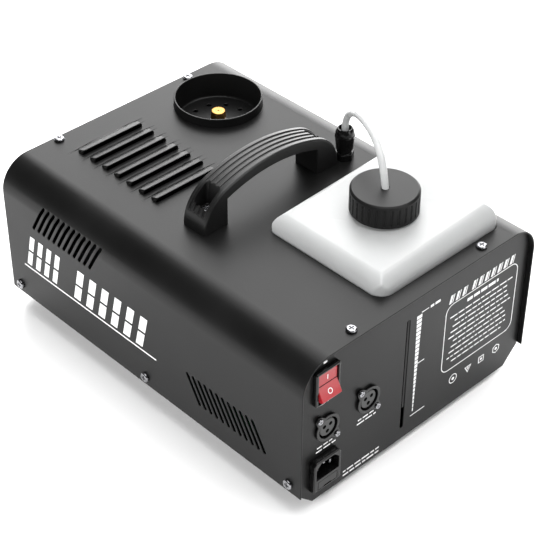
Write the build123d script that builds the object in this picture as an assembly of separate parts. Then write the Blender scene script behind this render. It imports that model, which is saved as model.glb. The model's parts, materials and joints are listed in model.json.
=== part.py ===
from build123d import *
import math
import os

# Vertical-jet fog machine. X runs along the machine (rear control panel at +X),
# Y across it, Z up. The origin is on the ground plane, below the middle of the box.
# All sizes are in millimetres.

# --- Housing ---------------------------------------------------------------
LENGTH = 360.0            # cover, front end to rear end
WIDTH = 263.0             # cover, outside to outside
COVER_TOP = 152.0         # height of the flat top above the ground
COVER_BOTTOM = 23.0       # height of the cover's lower edges
BEND_R = 28.0             # outer radius of the two long bends
SHEET = 1.2               # steel sheet thickness
PANEL_RECESS = 4.5        # the rear panel stands this far inside the cover
FRONT_RECESS = 0.5        # the front panel is almost flush
TRAY_BOTTOM = 6.0         # underside of the base tray, which is the foot height
TRAY_CHAMFER = 16.0       # 45 degree folds along the tray's lower corners
LIP_HEIGHT = 16.0         # tray lips inside the cover
FLANGE = 12.0             # folded flanges of the end panels

# --- Cover openings ----------------------------------------------------------
CUTOUT_X = (41.5, 163.0)  # tank opening
CUTOUT_Y = (-32.7, 103.3)
CUTOUT_NEAR_R = 13.0  # the corner at the rear right; the other three are nearly square
CUTOUT_R = 4.5
LOUVRE_COUNT = 7
LOUVRE_PITCH = 15.75
LOUVRE_FIRST_X = -142.5   # open edge of the first louvre
LOUVRE_Y = (-73.5, -7.5)
LOUVRE_DEPTH = 9.0
LOUVRE_RISE = 3.8
VENT_COUNT = 12
VENT_PITCH = 6.75
VENT_WIDTH = 3.0
VENT_TILT = 30.0          # slant of the side slots from the vertical
FRONT_VENT = (-132.3, 120.0, 33.0)   # x, z of the first slot's centre and its length
REAR_VENT = (59.5, 57.0, 30.0)

# --- Fasteners -----------------------------------------------------------------
TOP_SCREWS = [(-174.5, -73.0), (-174.5, 73.0), (171.0, -73.0), (171.0, 73.0)]
SIDE_SCREW_X = (-168.0, 0.0, 167.0)
SIDE_SCREW_Z = 31.3
M4 = 4.0
M4_HEAD_D = 8.8
M4_HEAD_H = 2.6

# --- Nozzle cup and nozzle --------------------------------------------------------
CUP_X = -124.0
CUP_Y = 64.0
CUP_R = 39.0
CUP_WALL = 1.5
CUP_RISE = 8.0            # rim above the cover
CUP_DEPTH = 16.0          # floor below the cover's top
CUP_HOLES = 10
CUP_HOLE_CIRCLE = 24.5
CUP_HOLE_D = 4.2
NOZZLE_HEX = 12.0
NOZZLE_TOP = COVER_TOP - 7.0
NOZZLE_BORE_D = 1.6

# --- Handle -------------------------------------------------------------------------
HANDLE_REACH = 75.0       # centre to the outside of a foot
HANDLE_FOOT = 25.0        # length of a foot along Y
HANDLE_W = 26.0
HANDLE_TOP_R = 150.0      # long arc over the grip
HANDLE_SHOULDER_R = 36.0
HANDLE_HEIGHT = 43.0
GRIP_THICK = 9.5
POCKET = (16.0, 16.0)     # screw pockets, X by Y
POCKET_Y = 60.5
POCKET_FLOOR = COVER_TOP + 11.0

# --- Tank, cap and hose ----------------------------------------------------------------
TANK_X = (42.5, 162.0)
TANK_Y = (-31.7, 102.3)
TANK_Z = (30.0, COVER_TOP + 18.0)
TANK_NEAR_R = 12.0
TANK_CORNER_R = 3.5
TANK_SHOULDER_R = 12.5
TANK_WALL = 2.0
CAP_X = 101.3
CAP_Y = 35.2
NECK_R = 22.0
NECK_BORE_R = 19.0
NECK_TOP = COVER_TOP + 34.0
CAP_R = 28.0
CAP_TOP_R = 26.3
CAP_BOTTOM = COVER_TOP + 19.3
CAP_TOP = COVER_TOP + 39.5
CAP_FLUTES = 30
HOSE_R = 3.0
HOSE_BORE_R = 3.4

# --- Cable gland -----------------------------------------------------------------------
GLAND_X = 10.5
GLAND_Y = 84.5
GLAND_HEX = 15.0
GLAND_BODY_TOP = COVER_TOP + 8.5
GLAND_TOP = COVER_TOP + 30.0

# --- Rear panel fittings ------------------------------------------------------------------
PANEL_X = LENGTH / 2 - PANEL_RECESS      # outer face of the rear panel
FRONT_X = -LENGTH / 2 + FRONT_RECESS     # outer face of the front panel
SWITCH_Y = -103.8
SWITCH_Z = 123.0
SWITCH_BEZEL = (25.5, 32.5)
SWITCH_PROUD = 4.0
SWITCH_BODY = (22.6, 30.0)
SWITCH_WELL = (20.6, 28.4)
ROCKER_W = 20.0
ROCKER_REACH = 12.2       # pivot to an end of the rocker's face, along the panel
ROCKER_V = 14.0           # each half of the rocker's face leans out by this much
PIVOT_X = LENGTH / 2 - PANEL_RECESS - 3.0
PIVOT_R = 1.2
XLR_Z = 77.0
XLR_Y = (-100.8, -56.4)
XLR_R = 12.2
XLR_EAR = (9.5, 12.0)     # ear screws from the socket's centre
INLET_Y = -103.8
INLET_Z = 36.0
INLET_FACE = (29.0, 30.5)
INLET_PROUD = 6.0
DRAWER_Z = INLET_Z - 9.6
SLOT_Y = -13.7
SLOT_Z = (18.0, 130.0)
SLOT_W = 3.8

# --- Inner works ----------------------------------------------------------------------------
TRAY_TOP = TRAY_BOTTOM + SHEET
HEATER_X = (-166.0, -26.0)
HEATER_Y = (30.0, 98.0)
HEATER_Z = (64.0, 112.0)
PUMP_X = -100.0           # middle of the pump coil
PUMP_Y = -84.0
PUMP_Z = 48.0
BOARD_X = (14.0, 132.0)
BOARD_Y = (-111.0, -41.0)
BOARD_Z = 17.0


def block(x, y, z):
    """A box from its limits along each axis."""
    size = Box(x[1] - x[0], y[1] - y[0], z[1] - z[0])
    return Pos((x[0] + x[1]) / 2, (y[0] + y[1]) / 2, (z[0] + z[1]) / 2) * size


def post(x, y, z, radius):
    """An upright cylinder between two heights."""
    return Pos(x, y, (z[0] + z[1]) / 2) * Cylinder(radius, z[1] - z[0])


def rod_x(x, y, z, radius):
    """A cylinder along X."""
    return Pos((x[0] + x[1]) / 2, y, z) * Rot(0, 90, 0) * Cylinder(radius, x[1] - x[0])


def rod_y(x, y, z, radius):
    """A cylinder along Y."""
    return Pos(x, (y[0] + y[1]) / 2, z) * Rot(90, 0, 0) * Cylinder(radius, y[1] - y[0])


def rounded_block(x, y, z, corner):
    """An upright prism with rounded vertical corners."""
    outline = RectangleRounded(x[1] - x[0], y[1] - y[0], corner)
    return Pos((x[0] + x[1]) / 2, (y[0] + y[1]) / 2, z[0]) * extrude(outline, z[1] - z[0])


def cornered_block(x, y, z, near_corner, corner):
    """An upright prism whose corner at the highest X and lowest Y is rounder than the others."""
    def towards_near(edge):
        return edge.center().X - edge.center().Y
    body = block(x, y, z)
    body = fillet(body.edges().filter_by(Axis.Z).sort_by(towards_near)[-1], near_corner)
    return fillet(body.edges().filter_by(Axis.Z).sort_by(towards_near)[:3], corner)


def hex_post(x, y, z, across_flats):
    """An upright hexagonal prism."""
    outline = RegularPolygon(across_flats / 2, 6, major_radius=False)
    return Pos(x, y, z[0]) * extrude(outline, z[1] - z[0])


def on_panel(y, z, outline, x0, depth):
    """Extrude an outline drawn in the rear panel's plane (local x = Y, local y = Z)."""
    plane = Plane(origin=(x0, y, z), x_dir=(0, 1, 0), z_dir=(1, 0, 0))
    return extrude(plane * outline, depth)


def pan_screw(diameter, head_d, head_h, length):
    """A cross-recess pan head screw: the head sits on z = 0, the shank points down."""
    head = Cylinder(head_d / 2, head_h, align=(Align.CENTER, Align.CENTER, Align.MIN))
    head = fillet(head.edges().group_by(Axis.Z)[-1], head_h * 0.6)
    shank = Pos(0, 0, -length / 2) * Cylinder(diameter / 2, length)
    slot_a = Pos(0, 0, head_h) * Box(head_d * 0.56, head_d * 0.13, head_h * 0.9)
    slot_b = Pos(0, 0, head_h) * Box(head_d * 0.13, head_d * 0.56, head_h * 0.9)
    return head + shank - slot_a - slot_b


# --- Housing pieces --------------------------------------------------------------------------

def cover_body(inset):
    """The space under the bent cover, inset from its outer surface."""
    half = WIDTH / 2 - inset
    body = block((-LENGTH / 2 - inset, LENGTH / 2 + inset), (-half, half),
                 (COVER_BOTTOM - inset, COVER_TOP - inset))
    top_edges = body.edges().filter_by(Axis.X).group_by(Axis.Z)[-1]
    return fillet(top_edges, BEND_R - inset)


def louvre_form(grow):
    """A pressed hood, open towards +X; grow is the distance outside its inner surface."""
    depth = LOUVRE_DEPTH + grow
    rise = LOUVRE_RISE - SHEET + grow
    half = (LOUVRE_Y[1] - LOUVRE_Y[0]) / 2 - SHEET + grow
    with BuildSketch(Plane.XZ) as side_view:
        with BuildLine():
            Polyline((-depth, 0), (-depth, -SHEET), (0, -SHEET), (0, rise))
            ThreePointArc((0, rise), (-depth * 0.45, rise * 0.72), (-depth, 0))
        make_face()
    wedge = extrude(side_view.sketch, half, both=True)
    plan = fillet((Pos(-depth / 2, 0) * Rectangle(depth, 2 * half)).vertices().group_by(Axis.X)[0],
                  depth * 0.8)
    end_view = Plane.YZ * fillet((Pos(0, (rise - SHEET) / 2)
                                  * Rectangle(2 * half, rise + SHEET)).vertices().group_by(Axis.Y)[-1],
                                 rise * 0.95)
    hood = wedge & (Pos(0, 0, -SHEET) * extrude(plan, rise + SHEET))
    return hood & extrude(end_view, -depth)


def louvre_places():
    """Places of the louvres' open edges on the cover's top."""
    middle = (LOUVRE_Y[0] + LOUVRE_Y[1]) / 2
    return [Pos(LOUVRE_FIRST_X + i * LOUVRE_PITCH, middle, COVER_TOP) for i in range(LOUVRE_COUNT)]


def vent_slots(first, lean):
    """Slanted slots cut through both side walls."""
    x, z, length = first
    outline = SlotOverall(length, VENT_WIDTH)
    cutter = Rot(0, lean, 0) * Rot(90, 0, 0) * Rot(0, 0, 90) * extrude(outline, WIDTH, both=True)
    return [Pos(x + i * VENT_PITCH, 0, z) * cutter for i in range(VENT_COUNT)]


def make_cover():
    """Cover: one bent sheet with its louvres, vents and openings."""
    cover = cover_body(0) - cover_body(SHEET)
    hollow = Pos(0.01, 0, 0) * louvre_form(0)
    cover = cover + [place * louvre_form(SHEET) for place in louvre_places()]
    cover = cover - [place * Pos(SHEET * 0.2, 0, -0.05) * hollow for place in louvre_places()]
    top_cut = (COVER_TOP - 5.0, COVER_TOP + 5.0)
    cuts = [cornered_block(CUTOUT_X, CUTOUT_Y, top_cut, CUTOUT_NEAR_R, CUTOUT_R)]
    cuts.append(post(CUP_X, CUP_Y, top_cut, CUP_R + 0.1))
    cuts.append(post(GLAND_X, GLAND_Y, top_cut, 6.3))
    cuts += [post(x, y, top_cut, M4 / 2 + 0.15) for x, y in TOP_SCREWS]
    cuts += [post(0, side * POCKET_Y, top_cut, 2.7) for side in (-1, 1)]
    cuts += [rod_y(x, (-WIDTH, WIDTH), SIDE_SCREW_Z, M4 / 2 + 0.15) for x in SIDE_SCREW_X]
    cuts += vent_slots(FRONT_VENT, VENT_TILT)
    cuts += vent_slots(REAR_VENT, -VENT_TILT)
    return cover - cuts


def tray_outline(inset):
    """Outline across the tray, from lip to lip, inset from its outer surface."""
    half = WIDTH / 2 - SHEET - 0.1 - inset
    slope = inset * (math.sqrt(2) - 1)
    low = TRAY_BOTTOM + inset
    corner = half + inset - TRAY_CHAMFER
    top = COVER_BOTTOM + LIP_HEIGHT + (0.1 if inset else 0)
    right = [(corner - slope, low), (half, TRAY_BOTTOM + TRAY_CHAMFER + slope), (half, top)]
    left = [(-y, z) for y, z in reversed(right)]
    return Plane.YZ * make_face(Polyline(*right, *left, close=True))


def make_base_tray():
    """Base tray: one folded sheet with screw lips and air slots."""
    front = FRONT_X + SHEET
    span = PANEL_X - SHEET - front
    tray = Pos(front, 0, 0) * extrude(tray_outline(0), span)
    tray -= Pos(front - 1, 0, 0) * extrude(tray_outline(SHEET), span + 2)
    cuts = [rod_y(x, (-WIDTH, WIDTH), SIDE_SCREW_Z, M4 / 2) for x in SIDE_SCREW_X]
    cuts += [post(x, y, (0, 12), 2.05) for x, y in foot_places()]
    cuts += [post(x, y, (0, 12), 1.55) for x, y in tray_screw_places()]
    cuts += [block((x, x + 3), (-118 + 30, -50), (0, 12)) for x in range(-140, -60, 8)]
    cuts += [block((x, x + 3), (20, 100), (0, 12)) for x in range(-150, -40, 10)]
    return tray - cuts


def tray_screw_places():
    """Places of the screws that hold the end panels' lower flanges to the tray."""
    return [(x, y) for x in (FRONT_X + 7, PANEL_X - 7) for y in (-60.0, 60.0)]


def make_tray_screws():
    """Four small screws up through the tray into the end panels."""
    screws = [Pos(x, y, TRAY_BOTTOM) * Rot(180, 0, 0) * pan_screw(3.0, 5.6, 1.8, 5)
              for x, y in tray_screw_places()]
    return Compound([s.solid() for s in screws])


def panel_outline():
    """Outline of an end panel: two chamfered lower corners, two round upper ones."""
    half = WIDTH / 2 - SHEET - 0.3
    top = COVER_TOP - SHEET - 0.1
    low = TRAY_BOTTOM
    points = [(-half + TRAY_CHAMFER, low), (half - TRAY_CHAMFER, low), (half, low + TRAY_CHAMFER),
              (half, top), (-half, top), (-half, low + TRAY_CHAMFER)]
    face = make_face(Polyline(*points, close=True))
    return fillet(face.vertices().group_by(Axis.Y)[-1], BEND_R - SHEET - 0.3)


def end_panel():
    """A plain end panel, outer face at x = 0, flanges towards -X."""
    plate = Plane.YZ * panel_outline()
    panel = extrude(plate, -SHEET)
    top = COVER_TOP - SHEET - 0.1
    panel += block((-FLANGE, 0), (-95, 95), (top - SHEET, top))
    panel += block((-FLANGE, 0), (-90, 90), (TRAY_TOP, TRAY_TOP + SHEET))
    for side in (-1, 1):
        y = sorted((side * (WIDTH / 2 - SHEET - 0.3), side * (WIDTH / 2 - 2 * SHEET - 0.3)))
        panel += block((-FLANGE, 0), y, (COVER_BOTTOM + LIP_HEIGHT + 3, COVER_TOP - BEND_R - 4))
    return panel


def flange_holes(x_side):
    """Threaded holes of the upper and lower flanges at one end."""
    holes = [post(x, y, (COVER_TOP - 8, COVER_TOP + 2), M4 / 2) for x, y in TOP_SCREWS]
    holes += [post(x, y, (0, 12), 1.5) for x, y in tray_screw_places()]
    return [hole for hole in holes if hole.center().X * x_side > 0]


def make_front_panel():
    """Front panel: the plain end, away from the controls."""
    panel = Pos(FRONT_X, 0, 0) * Rot(0, 0, 180) * end_panel()
    return panel - flange_holes(-1)


def make_rear_panel():
    """Rear panel with the openings for its fittings and the level slot."""
    panel = Pos(PANEL_X, 0, 0) * end_panel()
    x0 = PANEL_X - 4
    cuts = [on_panel(SWITCH_Y, SWITCH_Z, Rectangle(SWITCH_BODY[0] + 0.3, SWITCH_BODY[1] + 0.3), x0, 8)]
    cuts.append(on_panel(INLET_Y, INLET_Z, Rectangle(27.3, 28.8), x0, 8))
    for y in XLR_Y:
        cuts.append(on_panel(y, XLR_Z, Circle(11.2), x0, 8))
        for side in (-1, 1):
            cuts.append(on_panel(y + side * XLR_EAR[0], XLR_Z - side * XLR_EAR[1], Circle(1.35), x0, 8))
    height = SLOT_Z[1] - SLOT_Z[0]
    slot = Rot(0, 0, 90) * SlotOverall(height, SLOT_W)
    cuts.append(on_panel(SLOT_Y, (SLOT_Z[0] + SLOT_Z[1]) / 2, slot, x0, 8))
    return panel - cuts - flange_holes(1)


def make_cover_screws():
    """Ten cross-recess pan head screws: four on top, three along each side."""
    screws = [Pos(x, y, COVER_TOP) * pan_screw(M4 - 0.02, M4_HEAD_D, M4_HEAD_H, 7) for x, y in TOP_SCREWS]
    for x in SIDE_SCREW_X:
        for side in (-1, 1):
            place = Pos(x, side * WIDTH / 2, SIDE_SCREW_Z) * Rot(-side * 90, 0, 0)
            screws.append(place * pan_screw(M4 - 0.02, M4_HEAD_D, M4_HEAD_H, 7))
    return Compound([s.solid() for s in screws])


def foot_places():
    """Places of the four feet."""
    return [(sx * 150.0, sy * 92.0) for sx in (-1, 1) for sy in (-1, 1)]


def make_rubber_feet():
    """Four moulded rubber feet."""
    feet = []
    for x, y in foot_places():
        foot = Cone(9.0, 10.5, TRAY_BOTTOM)
        foot = Pos(x, y, TRAY_BOTTOM / 2) * foot
        foot -= post(x, y, (-1, 3.2), 4.6)
        foot -= post(x, y, (0, 8), 2.1)
        feet.append(foot.solid())
    return Compound(feet)


def make_foot_screws():
    """Four pan head screws inside the feet, with nuts on the tray."""
    screws = []
    for x, y in foot_places():
        screw = Pos(x, y, 3.2) * Rot(180, 0, 0) * pan_screw(4.0, 8.0, 2.4, 9.5)
        screws.append(screw.solid())
    return Compound(screws)


def make_foot_nuts():
    """Four hexagon nuts on top of the tray."""
    nuts = [(hex_post(x, y, (TRAY_TOP, TRAY_TOP + 3.2), 7.0) - post(x, y, (0, 20), 2.0)).solid()
            for x, y in foot_places()]
    return Compound(nuts)


# --- Nozzle cup, nozzle and heater ------------------------------------------------------------

def make_nozzle_cup():
    """Deep-drawn guard cup round the nozzle, with vent holes in its floor."""
    floor = COVER_TOP - CUP_DEPTH
    rim = COVER_TOP + CUP_RISE
    cup = post(CUP_X, CUP_Y, (floor - CUP_WALL, rim), CUP_R)
    cup = fillet(cup.edges().group_by(Axis.Z)[0], 3.0)
    inner = post(CUP_X, CUP_Y, (floor, rim + 5), CUP_R - CUP_WALL)
    inner = fillet(inner.edges().group_by(Axis.Z)[0], 2.0)
    cup -= inner
    holes = [post(CUP_X + CUP_HOLE_CIRCLE * math.cos(math.radians(a)),
                  CUP_Y + CUP_HOLE_CIRCLE * math.sin(math.radians(a)),
                  (floor - 5, floor + 3), CUP_HOLE_D / 2) for a in range(14, 374, 360 // CUP_HOLES)]
    rim_z = COVER_TOP - SHEET
    tabs = post(CUP_X, CUP_Y, (rim_z - 1.2, rim_z), CUP_R + 7) - post(CUP_X, CUP_Y, (0, 200), CUP_R - 0.1)
    cup += tabs & block((CUP_X - 36, CUP_X + 60), (CUP_Y - 60, CUP_Y + 36), (rim_z - 1.2, rim_z))
    return cup - holes - post(CUP_X, CUP_Y, (floor - 5, floor + 3), 7.2)


def make_nozzle():
    """Brass nozzle: hexagon, chamfered top, jet bore."""
    top = NOZZLE_TOP
    body = hex_post(CUP_X, CUP_Y, (top - 9, top), NOZZLE_HEX)
    cone = Pos(CUP_X, CUP_Y, top - 5) * Cone(NOZZLE_HEX * 0.78, NOZZLE_HEX * 0.49, 10)
    body = body & (cone + post(CUP_X, CUP_Y, (top - 12, top - 4.9), 12))
    stem = post(CUP_X, CUP_Y, (top - 18, top - 9), 4.0)
    bore = post(CUP_X, CUP_Y, (top - 20, top + 1), NOZZLE_BORE_D / 2)
    return body + stem - bore


def make_heater_block():
    """Cast aluminium heater with cooling fins left off, and an outlet boss under the nozzle."""
    heater = block(HEATER_X, HEATER_Y, HEATER_Z)
    heater = fillet(heater.edges().filter_by(Axis.X), 8)
    heater += post(CUP_X, CUP_Y, (HEATER_Z[1] - 1, NOZZLE_TOP - 9), 7.0)
    bore = post(CUP_X, CUP_Y, (HEATER_Z[1] - 20, NOZZLE_TOP - 8), 4.0)
    inlet = rod_x((HEATER_X[1] - 20, HEATER_X[1] + 1), CUP_Y, 88, 4.0)
    holes = [rod_x((HEATER_X[1] - 40, HEATER_X[1] + 1), y, 76, 4.0) for y in (44, 84)]
    grooves = [block(HEATER_X, (y, y + 3), (HEATER_Z[0] - 1, HEATER_Z[0] + 5)) for y in (45, 60, 75)]
    return heater - [bore, inlet] - holes - grooves


def make_heater_element():
    """Two straight sheathed elements set into the block, with their terminal pins."""
    rods = []
    for y in (44, 84):
        rod = rod_x((HEATER_X[1] - 40, HEATER_X[1] + 8), y, 76, 3.9)
        rod += rod_x((HEATER_X[1] + 8, HEATER_X[1] + 16), y, 76, 1.5)
        rods.append(rod.solid())
    return Compound(rods)


def make_heater_inlet():
    """Steel inlet fitting screwed into the heater's rear face."""
    x = HEATER_X[1]
    fitting = rod_x((x - 12, x + 14), CUP_Y, 88, 3.9)
    plane = Plane(origin=(x, CUP_Y, 88), x_dir=(0, 1, 0), z_dir=(1, 0, 0))
    fitting += extrude(plane * RegularPolygon(6, 6, major_radius=False), 7)
    return fitting - rod_x((x - 14, x + 15), CUP_Y, 88, 1.4)


def make_heater_brackets():
    """Two folded stands that carry the heater above the tray."""
    stands = []
    for x in (-138.0, -52.0):
        stand = block((x, x + 12), (HEATER_Y[0], HEATER_Y[1]), (TRAY_TOP, HEATER_Z[0]))
        stand -= block((x - 1, x + 13), (HEATER_Y[0] + 2, HEATER_Y[1] - 2), (TRAY_TOP + 2, HEATER_Z[0] - 2))
        stands.append(stand.solid())
    return Compound(stands)


def make_heat_shield():
    """Folded sheet over the heater, open below and at its rear end."""
    x = (HEATER_X[0] - 4, HEATER_X[1] - 6)
    outer = block(x, (HEATER_Y[0] - 10, HEATER_Y[1] + 10), (50, HEATER_Z[1] + 10))
    inner = block((x[0] + 1, x[1] + 1), (HEATER_Y[0] - 9, HEATER_Y[1] + 9), (49, HEATER_Z[1] + 9))
    hole = post(CUP_X, CUP_Y, (HEATER_Z[1] + 5, HEATER_Z[1] + 15), 12)
    slots = [block((a, a + 4), (HEATER_Y[0] + 8, HEATER_Y[1] - 8), (HEATER_Z[1] + 5, HEATER_Z[1] + 15))
             for a in range(-92, -40, 12)]
    legs = [block((a, a + 14), (y, y + 1), (TRAY_TOP, 51)) for a in (-160, -60)
            for y in (HEATER_Y[0] - 10, HEATER_Y[1] + 9)]
    return outer - inner - hole - slots + legs


def disc_switch(x, y):
    """A bimetal disc thermostat standing on the heater."""
    z = HEATER_Z[1]
    body = post(x, y, (z, z + 2), 9.0) + post(x, y, (z + 2, z + 6), 7.5)
    blades = [block((x + d - 1.5, x + d + 1.5), (y - 0.4, y + 0.4), (z + 5, z + 8.5)) for d in (-4, 4)]
    return body + blades


def make_thermostat():
    """Control thermostat on the heater."""
    return disc_switch(-70.0, 52.0)


def make_thermal_cutout():
    """Overheat cut-out beside the thermostat."""
    return disc_switch(-70.0, 78.0)


# --- Handle --------------------------------------------------------------------------------------

def handle_outline(inset):
    """Outline of the handle's outer arch, closed along the cover, inset from its surface."""
    shoulder = HANDLE_SHOULDER_R
    centre_y = HANDLE_REACH - shoulder
    top = COVER_TOP + HANDLE_HEIGHT
    drop = math.sqrt((HANDLE_TOP_R - shoulder) ** 2 - centre_y ** 2)
    low = top - HANDLE_TOP_R
    unit = (centre_y / (HANDLE_TOP_R - shoulder), drop / (HANDLE_TOP_R - shoulder))
    tangent = (unit[0] * (HANDLE_TOP_R - inset), low + unit[1] * (HANDLE_TOP_R - inset))
    centre_z = low + drop
    small = shoulder - inset
    half_turn = math.atan2(unit[1], unit[0]) / 2
    middle = (centre_y + small * math.cos(half_turn), centre_z + small * math.sin(half_turn))
    end = (centre_y + small, centre_z)
    with BuildSketch(Plane.YZ) as arch:
        with BuildLine():
            ThreePointArc((-tangent[0], tangent[1]), (0, top - inset), tangent)
            ThreePointArc(tangent, middle, end)
            Polyline(end, (end[0], COVER_TOP), (-end[0], COVER_TOP), (-end[0], end[1]))
            ThreePointArc((-end[0], end[1]), (-middle[0], middle[1]), (-tangent[0], tangent[1]))
        make_face()
    return arch.sketch


def handle_gap():
    """Outline of the finger gap below the grip."""
    half = HANDLE_REACH - HANDLE_FOOT
    rise = HANDLE_HEIGHT - GRIP_THICK
    radius = HANDLE_TOP_R - GRIP_THICK
    side = COVER_TOP + rise - (radius - math.sqrt(radius ** 2 - half ** 2))
    with BuildSketch(Plane.YZ) as gap:
        with BuildLine():
            Polyline((-half, side), (-half, COVER_TOP - 1), (half, COVER_TOP - 1), (half, side))
            ThreePointArc((half, side), (0, COVER_TOP + rise), (-half, side))
        make_face()
    return gap.sketch


def make_handle():
    """Moulded handle across the cover, with four grooves and two screw pockets."""
    half = HANDLE_W / 2
    arch = extrude(handle_outline(0), half, both=True)
    arch = chamfer(arch.edges().filter_by(GeomType.CIRCLE), 1.2)
    handle = arch - extrude(handle_gap(), half + 1, both=True)
    skin = extrude(handle_outline(-1), half, both=True) - extrude(handle_outline(1.1), half, both=True)
    for x in (-7.6, -2.6, 2.6, 7.6):
        handle -= skin & block((x - 1.2, x + 1.2), (-90, 90), (COVER_TOP + 14, COVER_TOP + 60))
    for side in (-1, 1):
        y = side * POCKET_Y
        handle -= rounded_block((-POCKET[0] / 2, POCKET[0] / 2), (y - POCKET[1] / 2, y + POCKET[1] / 2),
                                (POCKET_FLOOR, COVER_TOP + 60), 2.5)
        handle -= post(0, y, (COVER_TOP - 1, POCKET_FLOOR + 1), 2.6)
    return handle


def make_handle_screws():
    """Two pan head screws in the handle's pockets."""
    screws = [(Pos(0, side * POCKET_Y, POCKET_FLOOR) * pan_screw(4.98, 9.5, 3.2, 19)).solid()
              for side in (-1, 1)]
    return Compound(screws)


def make_handle_nuts():
    """Two flanged nuts under the cover."""
    nuts = []
    top = COVER_TOP - SHEET
    for side in (-1, 1):
        y = side * POCKET_Y
        nut = post(0, y, (top - 1.2, top), 6.5) + hex_post(0, y, (top - 5.2, top - 1.2), 8.0)
        nuts.append((nut - post(0, y, (top - 9, top + 1), 2.5)).solid())
    return Compound(nuts)


# --- Tank and cap -----------------------------------------------------------------------------------

def tank_form(inset):
    """The blow-moulded tank's body, inset from its outer surface, with rounded shoulders."""
    x, y, z = [(span[0] + inset, span[1] - inset) for span in (TANK_X, TANK_Y, TANK_Z)]
    middle = Pos((x[0] + x[1]) / 2, (y[0] + y[1]) / 2, (z[0] + z[1]) / 2)
    shoulder = TANK_SHOULDER_R - inset
    across = extrude(Plane.XZ * RectangleRounded(x[1] - x[0], z[1] - z[0], shoulder), WIDTH, both=True)
    along = extrude(Plane.YZ * RectangleRounded(y[1] - y[0], z[1] - z[0], shoulder), LENGTH, both=True)
    body = cornered_block(x, y, z, TANK_NEAR_R - inset, TANK_CORNER_R - inset)
    return body & (middle * across) & (middle * along)


def make_tank():
    """Translucent tank with its neck."""
    tank = tank_form(0)
    tank += post(CAP_X, CAP_Y, (TANK_Z[1] - 1, NECK_TOP), NECK_R)
    tank -= tank_form(TANK_WALL)
    return tank - post(CAP_X, CAP_Y, (TANK_Z[1] - 6, NECK_TOP + 1), NECK_BORE_R)


def make_tank_cap():
    """Fluted screw cap with the hose bore in its middle."""
    cap = post(CAP_X, CAP_Y, (CAP_BOTTOM, CAP_TOP), CAP_R)
    cap = chamfer(cap.edges().group_by(Axis.Z)[-1], 1.4, CAP_R - CAP_TOP_R)
    flutes = [post(CAP_X + (CAP_R + 0.5) * math.cos(a), CAP_Y + (CAP_R + 0.5) * math.sin(a),
                   (CAP_BOTTOM + 2.5, CAP_TOP - 3.2), 1.25)
              for a in (2 * math.pi * i / CAP_FLUTES for i in range(CAP_FLUTES))]
    cap -= post(CAP_X, CAP_Y, (CAP_BOTTOM - 1, NECK_TOP + 2), NECK_R + 0.35)
    return cap - flutes - post(CAP_X, CAP_Y, (CAP_BOTTOM, CAP_TOP + 1), HOSE_BORE_R)


def make_cap_liner():
    """Foam sealing disc between the cap and the neck."""
    disc = post(CAP_X, CAP_Y, (NECK_TOP, NECK_TOP + 1.9), NECK_R - 0.3)
    return disc - post(CAP_X, CAP_Y, (NECK_TOP - 1, NECK_TOP + 3), HOSE_BORE_R + 0.6)


def make_dip_tube():
    """Suction tube standing in the tank, from the cap to the filter."""
    return (post(CAP_X, CAP_Y, (TANK_Z[0] + 16, CAP_TOP), HOSE_R)
            - post(CAP_X, CAP_Y, (TANK_Z[0] + 10, CAP_TOP + 1), HOSE_R - 1.0))


def make_filter_weight():
    """Brass suction filter on the tube's lower end."""
    low = TANK_Z[0] + TANK_WALL + 1.0
    body = post(CAP_X, CAP_Y, (low, low + 13), 6.0)
    body = chamfer(body.edges().group_by(Axis.Z)[-1], 1.0)
    slots = [Pos(CAP_X, CAP_Y, low + 4.5) * Rot(0, 0, a) * Box(20, 1.2, 5) for a in (0, 60, 120)]
    return body - slots + post(CAP_X, CAP_Y, (low + 12, low + 17), HOSE_R - 1.0)


def make_tank_shelf():
    """Folded sheet bridge that the tank stands on."""
    x = (TANK_X[0] - 2, TANK_X[1] + 1)
    y = (TANK_Y[0] + 2, TANK_Y[1] - 2)
    top = TANK_Z[0] - 2.0
    shelf = block(x, y, (top - SHEET, top))
    for side in (y[0], y[1] - SHEET):
        shelf += block(x, (side, side + SHEET), (TRAY_TOP, top))
    return shelf - [block((a, a + 14), (y[0] + 20, y[1] - 20), (top - 5, top + 5)) for a in (55, 85, 115)]


def make_tank_pad():
    """Foam pad between the shelf and the tank."""
    pad = block((TANK_X[0] + 12, TANK_X[1] - 12), (TANK_Y[0] + 12, TANK_Y[1] - 12),
                (TANK_Z[0] - 2.0, TANK_Z[0]))
    return fillet(pad.edges().filter_by(Axis.Z), 8)


# --- Hoses and gland ----------------------------------------------------------------------------------

def hose_route():
    """Points of the free hose, from the gland's mouth over to the cap, set by hand."""
    run = (CAP_X - GLAND_X, CAP_Y - GLAND_Y)
    reach = math.hypot(*run)
    along = [(-0.4, 28.0), (1.4, 37.5), (8.2, 47.6), (21.0, 57.2), (39.5, 64.2), (60.0, 67.0),
             (79.0, 65.6), (92.2, 57.8), (99.9, 46.6), (106.1, 33.5)]
    return [(GLAND_X + run[0] * u / reach, GLAND_Y + run[1] * u / reach, COVER_TOP + h)
            for u, h in along]


def corner_radii(points):
    """Largest arcs that the runs allow: 0.45 of the shorter run over tan(half the turn)."""
    radii = []
    for a, b, c in zip(points, points[1:], points[2:]):
        before = Vector(*b) - Vector(*a)
        after = Vector(*c) - Vector(*b)
        half_turn = math.radians(before.get_angle(after)) / 2
        radii.append(0.45 * min(before.length, after.length) / math.tan(half_turn))
    return radii


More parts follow.
